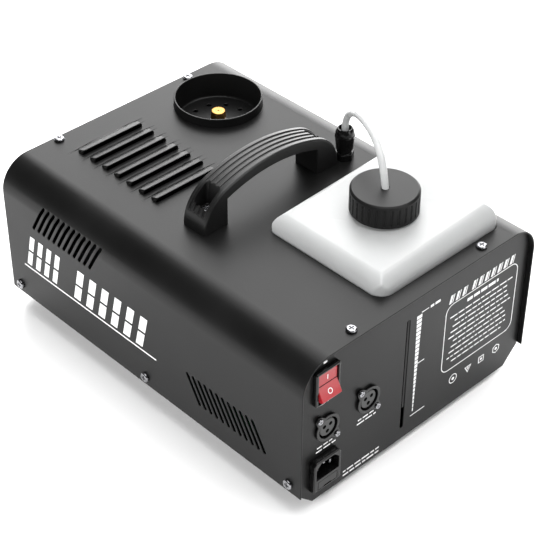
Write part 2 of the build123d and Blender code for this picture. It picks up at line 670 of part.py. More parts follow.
def tube_along(points, radius):
    """A solid tube on straight runs joined by tangent arcs."""
    radii = corner_radii(points)
    path = FilletPolyline(*points, radius=radii)
    start = Vector(*points[1]) - Vector(*points[0])
    section = Plane(origin=points[0], z_dir=start) * Circle(radius)
    tube = sweep(section, path=path)
    print("tube radii", [round(r, 1) for r in radii], "length", round(path.length, 1),
          "volume over section times length", round(tube.volume / (math.pi * radius ** 2 * path.length), 4))
    return tube


def make_feed_hose():
    """Free silicone hose from the gland to the cap, its ends cut level."""
    hose = tube_along(hose_route(), HOSE_R)
    hose -= block((GLAND_X - 20, GLAND_X + 20), (GLAND_Y - 20, GLAND_Y + 20), (GLAND_TOP - 20, GLAND_TOP))
    return hose - block((CAP_X - 20, CAP_X + 20), (CAP_Y - 20, CAP_Y + 20), (CAP_TOP - 20, CAP_TOP))


def make_suction_hose():
    """Held hose from the gland's mouth down to the pump's inlet."""
    pump_in = (PUMP_X + 46, PUMP_Y, PUMP_Z)
    points = [(GLAND_X, GLAND_Y, GLAND_TOP), (GLAND_X, GLAND_Y, 92), (4, 66, 58), (-2, 30, 45),
              (-5, -14, 45), (-8, -54, 46), (-24, -84, 48), pump_in]
    return tube_along(points, HOSE_R)


def make_delivery_pipe():
    """Pipe from the pump's outlet round to the heater's inlet."""
    points = [(PUMP_X - 40, PUMP_Y, PUMP_Z), (PUMP_X - 56, PUMP_Y, PUMP_Z), (-166, -66, 49), (-158, -38, 54),
              (-118, -14, 76), (-60, -6, 92), (-14, -2, 96), (10, 16, 94), (20, 42, 90),
              (8, CUP_Y, 88), (HEATER_X[1] + 14, CUP_Y, 88)]
    return tube_along(points, 2.0)


def make_gland_body():
    """Cable gland body: hexagon on the cover, threads above and below, bored through."""
    body = hex_post(GLAND_X, GLAND_Y, (COVER_TOP, GLAND_BODY_TOP - 2.5), GLAND_HEX)
    body += post(GLAND_X, GLAND_Y, (GLAND_BODY_TOP - 2.5, GLAND_TOP - 12), 6.2)
    body += post(GLAND_X, GLAND_Y, (COVER_TOP - 9, COVER_TOP), 6.2)
    return body - post(GLAND_X, GLAND_Y, (COVER_TOP - 10, GLAND_TOP), 4.6)


def make_gland_nut():
    """Dome nut of the gland."""
    z0 = GLAND_BODY_TOP
    hexagon = hex_post(GLAND_X, GLAND_Y, (z0, z0 + 12.5), GLAND_HEX)
    limit = Pos(GLAND_X, GLAND_Y, (z0 + GLAND_TOP) / 2) * Cylinder(8.4, GLAND_TOP - z0)
    limit = chamfer(limit.edges(), 0.8)
    dome = Pos(GLAND_X, GLAND_Y, (z0 + 12.5 + GLAND_TOP) / 2) * Cone(7.3, 5.2, GLAND_TOP - z0 - 12.5)
    nut = (hexagon & limit) + dome
    nut -= post(GLAND_X, GLAND_Y, (z0 - 1, z0 + 12), 6.2)
    return nut - post(GLAND_X, GLAND_Y, (z0, GLAND_TOP + 1), 3.9)


def make_gland_seal():
    """Rubber ring that grips the hose inside the gland."""
    ring = post(GLAND_X, GLAND_Y, (GLAND_TOP - 22, GLAND_TOP - 10.2), 4.55)
    return ring - post(GLAND_X, GLAND_Y, (GLAND_TOP - 30, GLAND_TOP), HOSE_R)


def make_gland_locknut():
    """Hexagon locknut under the cover."""
    top = COVER_TOP - SHEET
    nut = hex_post(GLAND_X, GLAND_Y, (top - 5, top), 18.0)
    return nut - post(GLAND_X, GLAND_Y, (top - 6, top + 1), 6.2)


# --- Mains switch ------------------------------------------------------------------------------------

def make_switch_housing():
    """Snap-in housing: bezel in front of the panel, box behind it."""
    bezel = on_panel(SWITCH_Y, SWITCH_Z, RectangleRounded(*SWITCH_BEZEL, 2.0), PANEL_X, SWITCH_PROUD)
    bezel = chamfer(bezel.faces().sort_by(Axis.X)[-1].outer_wire().edges(), 0.8)
    box = on_panel(SWITCH_Y, SWITCH_Z, Rectangle(*SWITCH_BODY), PANEL_X - 22, 22)
    well = on_panel(SWITCH_Y, SWITCH_Z, Rectangle(*SWITCH_WELL), PANEL_X - 14, 22)
    return bezel + box - well - make_switch_pivot()


def make_switch_pivot():
    """Pivot pin across the housing."""
    half = SWITCH_WELL[0] / 2 + 0.6
    return rod_y(PIVOT_X, (SWITCH_Y - half, SWITCH_Y + half), SWITCH_Z, PIVOT_R)


def make_switch_rocker():
    """Rocker with two faces that meet in a shallow V, shown with its upper half pressed."""
    apex = 5.6
    tip = apex + ROCKER_REACH * math.tan(math.radians(ROCKER_V))
    half = [(tip, ROCKER_REACH), (5.0, 13.0), (-3.0, 8.4)]
    points = [(apex, 0)] + half + [(-5.5, 0)] + [(x, -z) for x, z in reversed(half)]
    with BuildSketch(Plane.XZ) as side_view:
        with BuildLine():
            Polyline(*points, close=True)
        make_face()
    rocker = extrude(side_view.sketch, ROCKER_W / 2, both=True)
    rocker = fillet(rocker.edges().filter_by(Axis.Y).group_by(Axis.X)[-1], 0.8)
    rocker -= rod_y(0, (-20, 20), 0, PIVOT_R + 0.05)
    return Pos(PIVOT_X, SWITCH_Y, SWITCH_Z) * Rot(0, -ROCKER_V, 0) * rocker


def make_switch_terminals():
    """Four flat terminals at the back of the switch."""
    blades = [block((PANEL_X - 31, PANEL_X - 22), (SWITCH_Y + y - 3, SWITCH_Y + y + 3),
                    (SWITCH_Z + z - 0.4, SWITCH_Z + z + 0.4)).solid() for y in (-5.5, 5.5) for z in (-7, 7)]
    return Compound(blades)


# --- Three-pin sockets ---------------------------------------------------------------------------------

def make_xlr_shell(y):
    """Round flange with two screw ears and the barrel behind the panel."""
    ears = [Pos(s * XLR_EAR[0], -s * XLR_EAR[1]) * Circle(3.4) for s in (-1, 1)]
    outline = make_hull((Circle(XLR_R * 0.62) + ears).edges()) + Circle(XLR_R)
    shell = on_panel(y, XLR_Z, outline, PANEL_X, 2.2)
    shell += on_panel(y, XLR_Z, Circle(11.0), PANEL_X - 20, 20)
    shell -= on_panel(y, XLR_Z, Circle(9.6), PANEL_X - 21, 25)
    for side in (-1, 1):
        shell -= on_panel(y + side * XLR_EAR[0], XLR_Z - side * XLR_EAR[1], Circle(1.7), PANEL_X - 1, 5)
    return shell


def make_xlr_insert(y):
    """Socket insert with its three contact holes."""
    insert = on_panel(y, XLR_Z, Circle(9.6), PANEL_X - 18.9, 3.0)
    insert += on_panel(y, XLR_Z, Circle(7.9), PANEL_X - 18.9, 20.0)
    holes = [on_panel(y + 3.6 * math.cos(math.radians(a)), XLR_Z + 3.6 * math.sin(math.radians(a)),
                      Circle(1.2), PANEL_X - 8, 12) for a in (30, 150, 270)]
    key = on_panel(y, XLR_Z + 8.2, Rectangle(2.4, 1.6), PANEL_X - 8, 12)
    return insert - holes - key


def make_xlr_contacts():
    """Three solder pins at the back of each socket."""
    pins = [on_panel(y + 3.6 * math.cos(math.radians(a)), XLR_Z + 3.6 * math.sin(math.radians(a)),
                     Circle(1.1), PANEL_X - 27, 8.1).solid() for y in XLR_Y for a in (30, 150, 270)]
    return Compound(pins)


def make_xlr_screws():
    """Four small screws through the sockets' ears."""
    screws = []
    for y in XLR_Y:
        for side in (-1, 1):
            place = Pos(PANEL_X + 2.2, y + side * XLR_EAR[0], XLR_Z - side * XLR_EAR[1]) * Rot(0, 90, 0)
            screws.append((place * pan_screw(2.6, 5.2, 1.6, 7)).solid())
    return Compound(screws)


# --- Mains inlet -----------------------------------------------------------------------------------------

def inlet_cavity():
    """Outline of the inlet's cavity: a rectangle with its two upper corners cut off."""
    return chamfer(Rectangle(24.0, 16.0).vertices().group_by(Axis.Y)[-1], 4.8)


def make_inlet_housing():
    """Mains inlet with a fuse drawer slot under the cavity."""
    face = chamfer(Rectangle(*INLET_FACE).vertices().group_by(Axis.Y)[-1], 2.6)
    housing = on_panel(INLET_Y, INLET_Z, face, PANEL_X, INLET_PROUD)
    housing = fillet(housing.faces().sort_by(Axis.X)[-1].outer_wire().edges(), 1.2)
    housing += on_panel(INLET_Y, INLET_Z, Rectangle(27.0, 28.5), PANEL_X - 17, 17)
    housing -= on_panel(INLET_Y, INLET_Z + 5.0, inlet_cavity(), PANEL_X - 10, 20)
    drawer = on_panel(INLET_Y, DRAWER_Z, Rectangle(20.6, 8.0), PANEL_X - 16, 16 + INLET_PROUD + 1)
    return housing - drawer - make_inlet_pins()


def make_inlet_pins():
    """Three blades in the cavity, with their tabs behind the housing."""
    pins = []
    for y, z in ((-7.0, 3.2), (7.0, 3.2), (0.0, 7.2)):
        blade = block((PANEL_X - 17.5, PANEL_X + 1.5), (INLET_Y + y - 1, INLET_Y + y + 1),
                      (INLET_Z + z - 2, INLET_Z + z + 2))
        tab = block((PANEL_X - 26, PANEL_X - 17), (INLET_Y + y - 0.4, INLET_Y + y + 0.4),
                    (INLET_Z + z - 2.4, INLET_Z + z + 2.4))
        pins.append((blade + tab).solid())
    return Compound(pins)


def make_fuse_drawer():
    """Fuse drawer with a finger notch; its cradle slides into the housing."""
    z = DRAWER_Z
    front = on_panel(INLET_Y, z, Rectangle(20.0, 7.4), PANEL_X + INLET_PROUD - 3, 3.0)
    cradle = on_panel(INLET_Y, z, Rectangle(19.6, 7.0), PANEL_X - 14, 17.0)
    cradle -= block((PANEL_X - 13, PANEL_X - 3.5), (INLET_Y - 9, INLET_Y + 9), (z - 3.0, z + 8))
    notch = on_panel(INLET_Y, z - 3.7, Rectangle(8.0, 2.0), PANEL_X + INLET_PROUD - 1.4, 5)
    return front + cradle - notch


def make_fuse():
    """Glass cartridge fuse lying across the drawer."""
    z = DRAWER_Z
    return rod_y(PANEL_X - 8.2, (INLET_Y - 8.8, INLET_Y + 8.8), z - 0.4, 2.5)


# --- Pump ---------------------------------------------------------------------------------------------------

def make_pump_body():
    """Pump tube through the coil, with its two barbs."""
    body = rod_x((PUMP_X - 30, PUMP_X + 34), PUMP_Y, PUMP_Z, 8.0)
    body += rod_x((PUMP_X - 34, PUMP_X - 24), PUMP_Y, PUMP_Z, 11.0)
    body += rod_x((PUMP_X + 24, PUMP_X + 38), PUMP_Y, PUMP_Z, 11.0)
    body += rod_x((PUMP_X + 38, PUMP_X + 46), PUMP_Y, PUMP_Z, 3.0)
    body += rod_x((PUMP_X - 40, PUMP_X - 34), PUMP_Y, PUMP_Z, 3.0)
    bore = rod_x((PUMP_X - 26, PUMP_X + 30), PUMP_Y, PUMP_Z, 6.3)
    ports = rod_x((PUMP_X - 41, PUMP_X + 47), PUMP_Y, PUMP_Z, 1.2)
    return body - bore - ports


def make_pump_coil():
    """Wound coil on its bobbin."""
    coil = rod_x((PUMP_X - 18, PUMP_X + 18), PUMP_Y, PUMP_Z, 19.0)
    for x in (PUMP_X - 20, PUMP_X + 18):
        coil += block((x, x + 2), (PUMP_Y - 20, PUMP_Y + 20), (PUMP_Z - 20, PUMP_Z + 20))
    return coil - rod_x((PUMP_X - 30, PUMP_X + 30), PUMP_Y, PUMP_Z, 8.1)


def make_pump_frame():
    """Steel yoke round the coil."""
    outer = block((PUMP_X - 23.5, PUMP_X + 23.5), (PUMP_Y - 18, PUMP_Y + 18), (PUMP_Z - 23.5, PUMP_Z + 23.5))
    inner = block((PUMP_X - 20.5, PUMP_X + 20.5), (PUMP_Y - 20, PUMP_Y + 20), (PUMP_Z - 20.5, PUMP_Z + 20.5))
    return outer - inner - rod_x((PUMP_X - 30, PUMP_X + 30), PUMP_Y, PUMP_Z, 8.1)


def make_pump_piston():
    """Steel piston that the coil drives to and fro."""
    piston = rod_x((PUMP_X - 12, PUMP_X + 18), PUMP_Y, PUMP_Z, 6.2)
    return piston - rod_x((PUMP_X - 20, PUMP_X + 20), PUMP_Y, PUMP_Z, 1.5)


def make_pump_spring():
    """Return spring of the piston, as the sleeve that its coils fill."""
    sleeve = rod_x((PUMP_X - 25.9, PUMP_X - 12), PUMP_Y, PUMP_Z, 5.4)
    return sleeve - rod_x((PUMP_X - 30, PUMP_X - 10), PUMP_Y, PUMP_Z, 4.0)


def make_pump_bracket():
    """Folded bracket that carries the pump above the tray."""
    x = (PUMP_X - 20, PUMP_X + 20)
    bracket = block(x, (PUMP_Y - 26, PUMP_Y + 26), (TRAY_TOP + 10, TRAY_TOP + 11.5))
    bracket += block((PUMP_X - 6, PUMP_X + 6), (PUMP_Y - 12, PUMP_Y + 12), (TRAY_TOP + 11, PUMP_Z - 23.5))
    return bracket - [post(PUMP_X, PUMP_Y + s * 21, (0, 60), 2.6) for s in (-1, 1)]


def make_pump_mounts():
    """Two rubber bobbins between the bracket and the tray."""
    return Compound([post(PUMP_X, PUMP_Y + s * 21, (TRAY_TOP, TRAY_TOP + 10), 5.0).solid()
                     for s in (-1, 1)])


# --- Control board --------------------------------------------------------------------------------------------

def board_corners():
    """Places of the board's four standoffs."""
    return [(x, y) for x in (BOARD_X[0] + 5, BOARD_X[1] - 5) for y in (BOARD_Y[0] + 5, BOARD_Y[1] - 5)]


def make_control_board():
    """Bare printed circuit board."""
    board = block(BOARD_X, BOARD_Y, (BOARD_Z, BOARD_Z + 1.6))
    return board - [post(x, y, (BOARD_Z - 1, BOARD_Z + 3), 1.6) for x, y in board_corners()]


def make_board_parts():
    """Relay, capacitors, regulator and terminal blocks on the board."""
    top = BOARD_Z + 1.6
    x0, y0 = BOARD_X[0], BOARD_Y[0]
    parts = [block((x0 + 14, x0 + 33), (y0 + 12, y0 + 27), (top, top + 16)),
             block((x0 + 14, x0 + 33), (y0 + 34, y0 + 49), (top, top + 16)),
             post(x0 + 46, y0 + 18, (top, top + 20), 6.5), post(x0 + 46, y0 + 36, (top, top + 14), 5.0),
             block((x0 + 92, x0 + 110), (y0 + 12, y0 + 24), (top, top + 10)),
             block((x0 + 92, x0 + 110), (y0 + 40, y0 + 60), (top, top + 10)),
             block((x0 + 62, x0 + 82), (y0 + 56, y0 + 60), (top, top + 18))]
    return Compound([p.solid() for p in parts])


def make_transformer():
    """Small mains transformer on the board."""
    x, y, z = BOARD_X[0] + 71, BOARD_Y[0] + 30, BOARD_Z + 1.6
    core = block((x - 15, x + 15), (y - 12, y + 12), (z + 3, z + 24))
    return core + block((x - 10, x + 10), (y - 16, y + 16), (z, z + 20))


def make_board_standoffs():
    """Four standoffs with their screws' heads."""
    posts = []
    for x, y in board_corners():
        post_part = hex_post(x, y, (TRAY_TOP, BOARD_Z), 6.0) + post(x, y, (BOARD_Z - 1, BOARD_Z + 1.6), 1.5)
        posts.append((post_part + post(x, y, (BOARD_Z + 1.6, BOARD_Z + 3.4), 2.8)).solid())
    return Compound(posts)


# --- All pieces -------------------------------------------------------------------------------------------------

PIECES = {
    "cover": make_cover,
    "base_tray": make_base_tray,
    "tray_screws": make_tray_screws,
    "front_panel": make_front_panel,
    "rear_panel": make_rear_panel,
    "cover_screws": make_cover_screws,
    "rubber_feet": make_rubber_feet,
    "foot_screws": make_foot_screws,
    "foot_nuts": make_foot_nuts,
    "nozzle_cup": make_nozzle_cup,
    "nozzle": make_nozzle,
    "heater_block": make_heater_block,
    "heater_element": make_heater_element,
    "heater_inlet": make_heater_inlet,
    "heater_brackets": make_heater_brackets,
    "heat_shield": make_heat_shield,
    "thermostat": make_thermostat,
    "thermal_cutout": make_thermal_cutout,
    "handle": make_handle,
    "handle_screws": make_handle_screws,
    "handle_nuts": make_handle_nuts,
    "tank": make_tank,
    "tank_cap": make_tank_cap,
    "cap_liner": make_cap_liner,
    "dip_tube": make_dip_tube,
    "filter_weight": make_filter_weight,
    "tank_shelf": make_tank_shelf,
    "tank_pad": make_tank_pad,
    "feed_hose": make_feed_hose,
    "suction_hose": make_suction_hose,
    "delivery_pipe": make_delivery_pipe,
    "gland_body": make_gland_body,
    "gland_nut": make_gland_nut,
    "gland_seal": make_gland_seal,
    "gland_locknut": make_gland_locknut,
    "switch_housing": make_switch_housing,
    "switch_pivot": make_switch_pivot,
    "switch_rocker": make_switch_rocker,
    "switch_terminals": make_switch_terminals,
    "socket_shell_a": lambda: make_xlr_shell(XLR_Y[0]),
    "socket_shell_b": lambda: make_xlr_shell(XLR_Y[1]),
    "socket_insert_a": lambda: make_xlr_insert(XLR_Y[0]),
    "socket_insert_b": lambda: make_xlr_insert(XLR_Y[1]),
    "socket_contacts": make_xlr_contacts,
    "socket_screws": make_xlr_screws,
    "inlet_housing": make_inlet_housing,
    "inlet_pins": make_inlet_pins,
    "fuse_drawer": make_fuse_drawer,
    "fuse": make_fuse,
    "pump_body": make_pump_body,
    "pump_coil": make_pump_coil,
    "pump_frame": make_pump_frame,
    "pump_piston": make_pump_piston,
    "pump_spring": make_pump_spring,
    "pump_bracket": make_pump_bracket,
    "pump_mounts": make_pump_mounts,
    "control_board": make_control_board,
    "board_parts": make_board_parts,
    "transformer": make_transformer,
    "board_standoffs": make_board_standoffs,
}

os.makedirs("parts", exist_ok=True)
for name, make in PIECES.items():
    export_step(make(), f"parts/{name}.step")
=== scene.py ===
import json
import math
import random

import bmesh
import bpy
from bpy.props import FloatProperty, FloatVectorProperty, PointerProperty, StringProperty
from mathutils import Euler, Matrix, Vector


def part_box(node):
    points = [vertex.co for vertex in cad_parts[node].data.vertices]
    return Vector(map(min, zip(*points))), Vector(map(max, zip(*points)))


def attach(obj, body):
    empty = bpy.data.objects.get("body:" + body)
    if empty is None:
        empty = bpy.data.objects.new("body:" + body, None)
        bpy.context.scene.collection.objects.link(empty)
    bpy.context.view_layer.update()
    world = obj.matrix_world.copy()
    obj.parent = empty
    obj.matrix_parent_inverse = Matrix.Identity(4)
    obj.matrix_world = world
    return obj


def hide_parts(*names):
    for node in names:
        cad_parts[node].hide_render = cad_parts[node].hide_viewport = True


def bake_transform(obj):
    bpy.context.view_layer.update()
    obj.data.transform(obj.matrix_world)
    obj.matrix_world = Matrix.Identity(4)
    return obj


bl_info = {
    "name": "Fog Machine",
    "version": (1, 0, 0),
    "blender": (4, 5, 0),
    "location": "3D View > Sidebar > Fog Machine",
    "description": "Builds the looks of a vertical-jet fog machine round its packed frame",
    "category": "Object",
}

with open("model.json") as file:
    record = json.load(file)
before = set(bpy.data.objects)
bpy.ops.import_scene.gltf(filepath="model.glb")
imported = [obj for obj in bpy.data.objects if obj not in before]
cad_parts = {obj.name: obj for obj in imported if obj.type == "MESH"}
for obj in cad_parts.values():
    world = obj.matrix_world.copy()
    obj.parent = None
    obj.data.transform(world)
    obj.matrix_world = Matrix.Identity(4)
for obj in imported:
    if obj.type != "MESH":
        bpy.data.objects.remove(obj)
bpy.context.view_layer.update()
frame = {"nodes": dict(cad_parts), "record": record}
NODES = frame["nodes"]
MM = 0.001

# --- Places read from the frame ----------------------------------------------------------------
COVER_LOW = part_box("cover")[0]
TOP_Z = 152 * MM  # the cover's flat top, without its louvres
SIDE_Y = COVER_LOW.y
PANEL_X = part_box("rear_panel")[1].x
CAP_LOW, CAP_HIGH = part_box("tank_cap")
CAP_AXIS = (CAP_LOW + CAP_HIGH) / 2
TANK_TOP = 170 * MM  # the tank's flat top, without its neck
SHOULDER_R = 12.5 * MM  # the round of the tank's upper edges
GLAND_LOW, GLAND_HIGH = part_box("gland_nut")
GLAND_AXIS = (GLAND_LOW + GLAND_HIGH) / 2


# --- Small tools -------------------------------------------------------------------------------

def linear(hex_colour):
    """An sRGB hex colour as linear RGBA."""
    parts = [int(hex_colour[i:i + 2], 16) / 255 for i in (1, 3, 5)]
    curve = [c / 12.92 if c <= 0.04045 else ((c + 0.055) / 1.055) ** 2.4 for c in parts]
    return (*curve, 1.0)


def add_node(tree, kind, settings=None, links=None):
    """A shader node with its settings; links maps an input's name to an output socket."""
    node = tree.nodes.new(kind)
    for name, value in (settings or {}).items():
        if name in node.inputs:
            node.inputs[name].default_value = value
        else:
            setattr(node, name, value)
    for name, socket in (links or {}).items():
        tree.links.new(socket, node.inputs[name])
    return node


def new_material(name, surface):
    """An empty material with a Principled surface whose sockets are set from a dict."""
    material = bpy.data.materials.new(name)
    material.use_nodes = True
    tree = material.node_tree
    tree.nodes.clear()
    shader = add_node(tree, "ShaderNodeBsdfPrincipled", surface)
    add_node(tree, "ShaderNodeOutputMaterial", links={"Surface": shader.outputs["BSDF"]})
    return material, tree, shader


def object_coordinates(tree):
    return add_node(tree, "ShaderNodeTexCoord").outputs["Object"]


def noise(tree, size, detail=2.0, roughness=0.5, stretch=None):
    """Noise whose grains are about size metres across; stretch scales its coordinates."""
    place = object_coordinates(tree)
    if stretch:
        place = add_node(tree, "ShaderNodeMapping", {"Scale": stretch}, {"Vector": place}).outputs[0]
    return add_node(tree, "ShaderNodeTexNoise",
                    {"Scale": 1 / size, "Detail": detail, "Roughness": roughness},
                    {"Vector": place}).outputs["Fac"]


def remap(tree, value, low, high, from_low=0.3, from_high=0.7):
    """A value moved from one range to another."""
    return add_node(tree, "ShaderNodeMapRange",
                    {"From Min": from_low, "From Max": from_high, "To Min": low, "To Max": high},
                    {"Value": value}).outputs["Result"]


def tint(tree, value, dark, light):
    """A colour between two hex colours."""
    ramp = add_node(tree, "ShaderNodeMix", {"data_type": "RGBA"})
    tree.links.new(value, ramp.inputs["Factor"])
    ramp.inputs["A"].default_value = linear(dark)
    ramp.inputs["B"].default_value = linear(light)
    return ramp.outputs["Result"]


def bump(tree, shader, height, depth, strength=1.0):
    """Relief of about depth metres from a height between 0 and 1."""
    relief = add_node(tree, "ShaderNodeBump", {"Strength": strength, "Distance": depth}, {"Height": height})
    tree.links.new(relief.outputs["Normal"], shader.inputs["Normal"])


# --- Materials ---------------------------------------------------------------------------------

def textured(name, surface, dark, light, grain, rough, relief, cloud=0.06):
    """A surface with a fine grain: colour and roughness drift slowly, relief follows the grain."""
    material, tree, shader = new_material(name, surface)
    drift = noise(tree, cloud, 3.0)
    fine = noise(tree, grain, 2.0)
    tree.links.new(tint(tree, remap(tree, drift, 0, 1), dark, light), shader.inputs["Base Color"])
    tree.links.new(remap(tree, drift, *rough), shader.inputs["Roughness"])
    bump(tree, shader, fine, relief)
    return material


def powder_coat():
    """Black polyester powder coat on steel: fine orange peel, satin, a little uneven in gloss."""
    return textured("black_powder_coat", {"IOR": 1.5, "Specular IOR Level": 0.18}, "#0e0e0e", "#131313",
                    1.4 * MM, (0.34, 0.40), 0.02 * MM)


def satin_abs():
    """Moulded black ABS with a fine spark-eroded grain, which spreads its highlights."""
    return textured("moulded_black_abs", {"IOR": 1.53, "Specular IOR Level": 0.4}, "#101010", "#161616",
                    0.9 * MM, (0.34, 0.40), 0.03 * MM)


def cap_polypropylene():
    """Moulded black polypropylene of the cap: greyer, waxy."""
    return textured("moulded_black_polypropylene", {"IOR": 1.49, "Specular IOR Level": 0.2},
                    "#0e0e0e", "#131313", 0.8 * MM, (0.40, 0.46), 0.02 * MM)


def gloss_nylon():
    """Polished moulded nylon: glossy, almost no grain."""
    return textured("moulded_gloss_nylon", {"IOR": 1.53, "Specular IOR Level": 0.3}, "#0a0a0a", "#0e0e0e",
                    1.2 * MM, (0.16, 0.22), 0.008 * MM)


def grey_nylon():
    """Glass-filled grey nylon of the socket inserts."""
    return textured("glass_filled_grey_nylon", {"IOR": 1.53}, "#262626", "#2e2e2e", 0.7 * MM,
                    (0.40, 0.50), 0.02 * MM)


def rubber():
    """Moulded nitrile rubber: dull and slightly dusty."""
    return textured("moulded_nitrile_rubber", {"IOR": 1.52}, "#161616", "#202020", 0.8 * MM,
                    (0.65, 0.80), 0.04 * MM)


def foam():
    """Closed-cell polyethylene foam: pale, matt, with fine cells."""
    return textured("closed_cell_foam", {"IOR": 1.5}, "#bdbdb8", "#d6d6d2", 0.9 * MM, (0.75, 0.90),
                    0.12 * MM)


def red_polycarbonate():
    """Red tinted polycarbonate of the rocker: frosted, lets a little light through."""
    return textured("frosted_red_polycarbonate",
                    {"IOR": 1.585, "Subsurface Weight": 0.35, "Subsurface Scale": 2 * MM,
                     "Subsurface Radius": (1.0, 0.12, 0.1)},
                    "#9c0f1b", "#ab1a26", 0.8 * MM, (0.26, 0.34), 0.01 * MM)


def blown_polyethylene():
    """Natural blow-moulded polyethylene: milky, waxy, light scatters a few millimetres inside."""
    return textured("blow_moulded_polyethylene",
                    {"IOR": 1.51, "Subsurface Weight": 0.5, "Subsurface Scale": 8 * MM,
                     "Subsurface Radius": (1.0, 1.0, 0.97)},
                    "#a2a3a3", "#a9aaaa", 5 * MM, (0.38, 0.46), 0.04 * MM, 0.09)


def clear_silicone():
    """Extruded translucent silicone tube: smooth and milky, with a soft shine along it."""
    return textured("extruded_silicone",
                    {"IOR": 1.41, "Subsurface Weight": 0.5, "Subsurface Scale": 3 * MM,
                     "Subsurface Radius": (1.0, 1.0, 1.0)},
                    "#a8a9a9", "#b2b3b3", 6 * MM, (0.24, 0.30), 0.004 * MM, 0.02)


def metal(name, dark, light, rough, grain, relief, stretch=None):
    """A bare metal whose tool marks or crystals have the given grain."""
    material, tree, shader = new_material(name, {"Metallic": 1.0})
    marks = noise(tree, grain, 3.0, 0.6, stretch)
    tree.links.new(tint(tree, remap(tree, marks, 0, 1), dark, light), shader.inputs["Base Color"])
    tree.links.new(remap(tree, marks, *rough), shader.inputs["Roughness"])
    bump(tree, shader, marks, relief)
    return material


def turned_brass():
    """Turned brass: warm yellow, fine rings from the lathe, drawn at 0.8 mm so that they show."""
    material, tree, shader = new_material("turned_brass", {"Metallic": 1.0})
    low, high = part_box("nozzle")
    centre = add_node(tree, "ShaderNodeMapping",
                      {"Location": (-(low.x + high.x) / 2, -(low.y + high.y) / 2, 0)},
                      {"Vector": object_coordinates(tree)})
    rings = add_node(tree, "ShaderNodeTexWave",
                     {"wave_type": "RINGS", "rings_direction": "Z", "Scale": 0.31 / (0.8 * MM) / 3.14,
                      "Distortion": 0.4}, {"Vector": centre.outputs[0]}).outputs["Fac"]
    tree.links.new(tint(tree, rings, "#a87a3c", "#cfa062"), shader.inputs["Base Color"])
    tree.links.new(remap(tree, rings, 0.32, 0.42, 0, 1), shader.inputs["Roughness"])
    bump(tree, shader, rings, 0.02 * MM)
    return material


def nickel_plate():
    """Bright nickel plate on the screws: mirror-like with faint clouding."""
    return metal("bright_nickel_plate", "#8c8c8f", "#a3a3a6", (0.20, 0.30), 1.0 * MM, 0.004 * MM)


def zinc_plate():
    """Passivated zinc plate on pressed steel: grey with a soft spangle of some 3 mm."""
    return metal("zinc_plated_steel", "#a9abad", "#c4c6c8", (0.30, 0.42), 3 * MM, 0.01 * MM)


def cast_aluminium():
    """Sand-cast aluminium: pale, dull and grainy."""
    return metal("sand_cast_aluminium", "#9c9d9e", "#b6b7b8", (0.50, 0.62), 1.2 * MM, 0.10 * MM)


def copper_winding():
    """Enamelled copper wire wound round the coil, drawn with turns 0.8 mm apart."""
    return metal("enamelled_copper_winding", "#a4552d", "#c27243", (0.25, 0.38), 0.8 * MM, 0.08 * MM,
                 (1.0, 0.06, 0.06))


def circuit_board():
    """Green solder mask over woven glass board."""
    return textured("solder_masked_board", {"IOR": 1.5}, "#0e3a1e", "#14502a", 1.0 * MM, (0.30, 0.40),
                    0.02 * MM, 0.004)


def board_component():
    """Moulded epoxy cases of the board's parts."""
    return textured("moulded_epoxy", {"IOR": 1.55}, "#16181c", "#22252b", 0.7 * MM, (0.40, 0.52),
                    0.02 * MM)


def shadowed_bore():
    """The unlit inside of a narrow moulded hole: black, without shine."""
    return textured("shadowed_moulded_bore", {"IOR": 1.5, "Specular IOR Level": 0.03}, "#020202", "#050505",
                    0.8 * MM, (0.80, 0.90), 0.01 * MM)


def clear_glass():
    """Drawn glass tube of the fuse."""
    material, tree, shader = new_material("drawn_glass", {"IOR": 1.5, "Transmission Weight": 0.9})
    waves = noise(tree, 3 * MM, 1.0)
    tree.links.new(tint(tree, waves, "#e8eeee", "#f6fafa"), shader.inputs["Base Color"])
    tree.links.new(remap(tree, waves, 0.03, 0.07), shader.inputs["Roughness"])
    return material


def screen_ink():
    """White two-part screen printing ink: a matt film with a slightly uneven cover."""
    return textured("white_screen_ink", {"IOR": 1.5}, "#dcdcdc", "#efefef", 0.8 * MM, (0.50, 0.60),
                    0.01 * MM, 0.004)


FINISHES = {
    "powder": powder_coat, "abs": satin_abs, "cap": cap_polypropylene, "gloss": gloss_nylon,
    "grey": grey_nylon, "rubber": rubber, "foam": foam, "red": red_polycarbonate,
    "tank": blown_polyethylene, "hose": clear_silicone, "brass": turned_brass,
    "nickel": nickel_plate, "zinc": zinc_plate, "aluminium": cast_aluminium,
    "copper": copper_winding, "board": circuit_board, "component": board_component,
    "glass": clear_glass, "ink": screen_ink, "bore": shadowed_bore,
}
made_finishes = {}


def finish(key):
    """The material of a finish, made once."""
    if key not in made_finishes:
        made_finishes[key] = FINISHES[key]()
    return made_finishes[key]


# --- Mesh tools --------------------------------------------------------------------------------

def body_of_node(node):
    """The CAD body that a node belongs to."""
    for body, members in frame["record"]["behaviour"]["bodies"].items():
        if node in members:
            return body
    raise RuntimeError(f"no body holds {node}")


def place_piece(name, bm, key, body, smooth_angle=35.0):
    """Turn a bmesh into a finished piece that rides on a body."""
    mesh = bpy.data.meshes.new(name)
    bm.to_mesh(mesh)
    bm.free()
    mesh.shade_smooth()
    mesh.set_sharp_from_angle(angle=math.radians(smooth_angle))
    piece = bpy.data.objects.new(name, mesh)
    mesh.materials.append(finish(key))
    bpy.context.scene.collection.objects.link(piece)
    if body:
        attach(piece, body)
    return piece


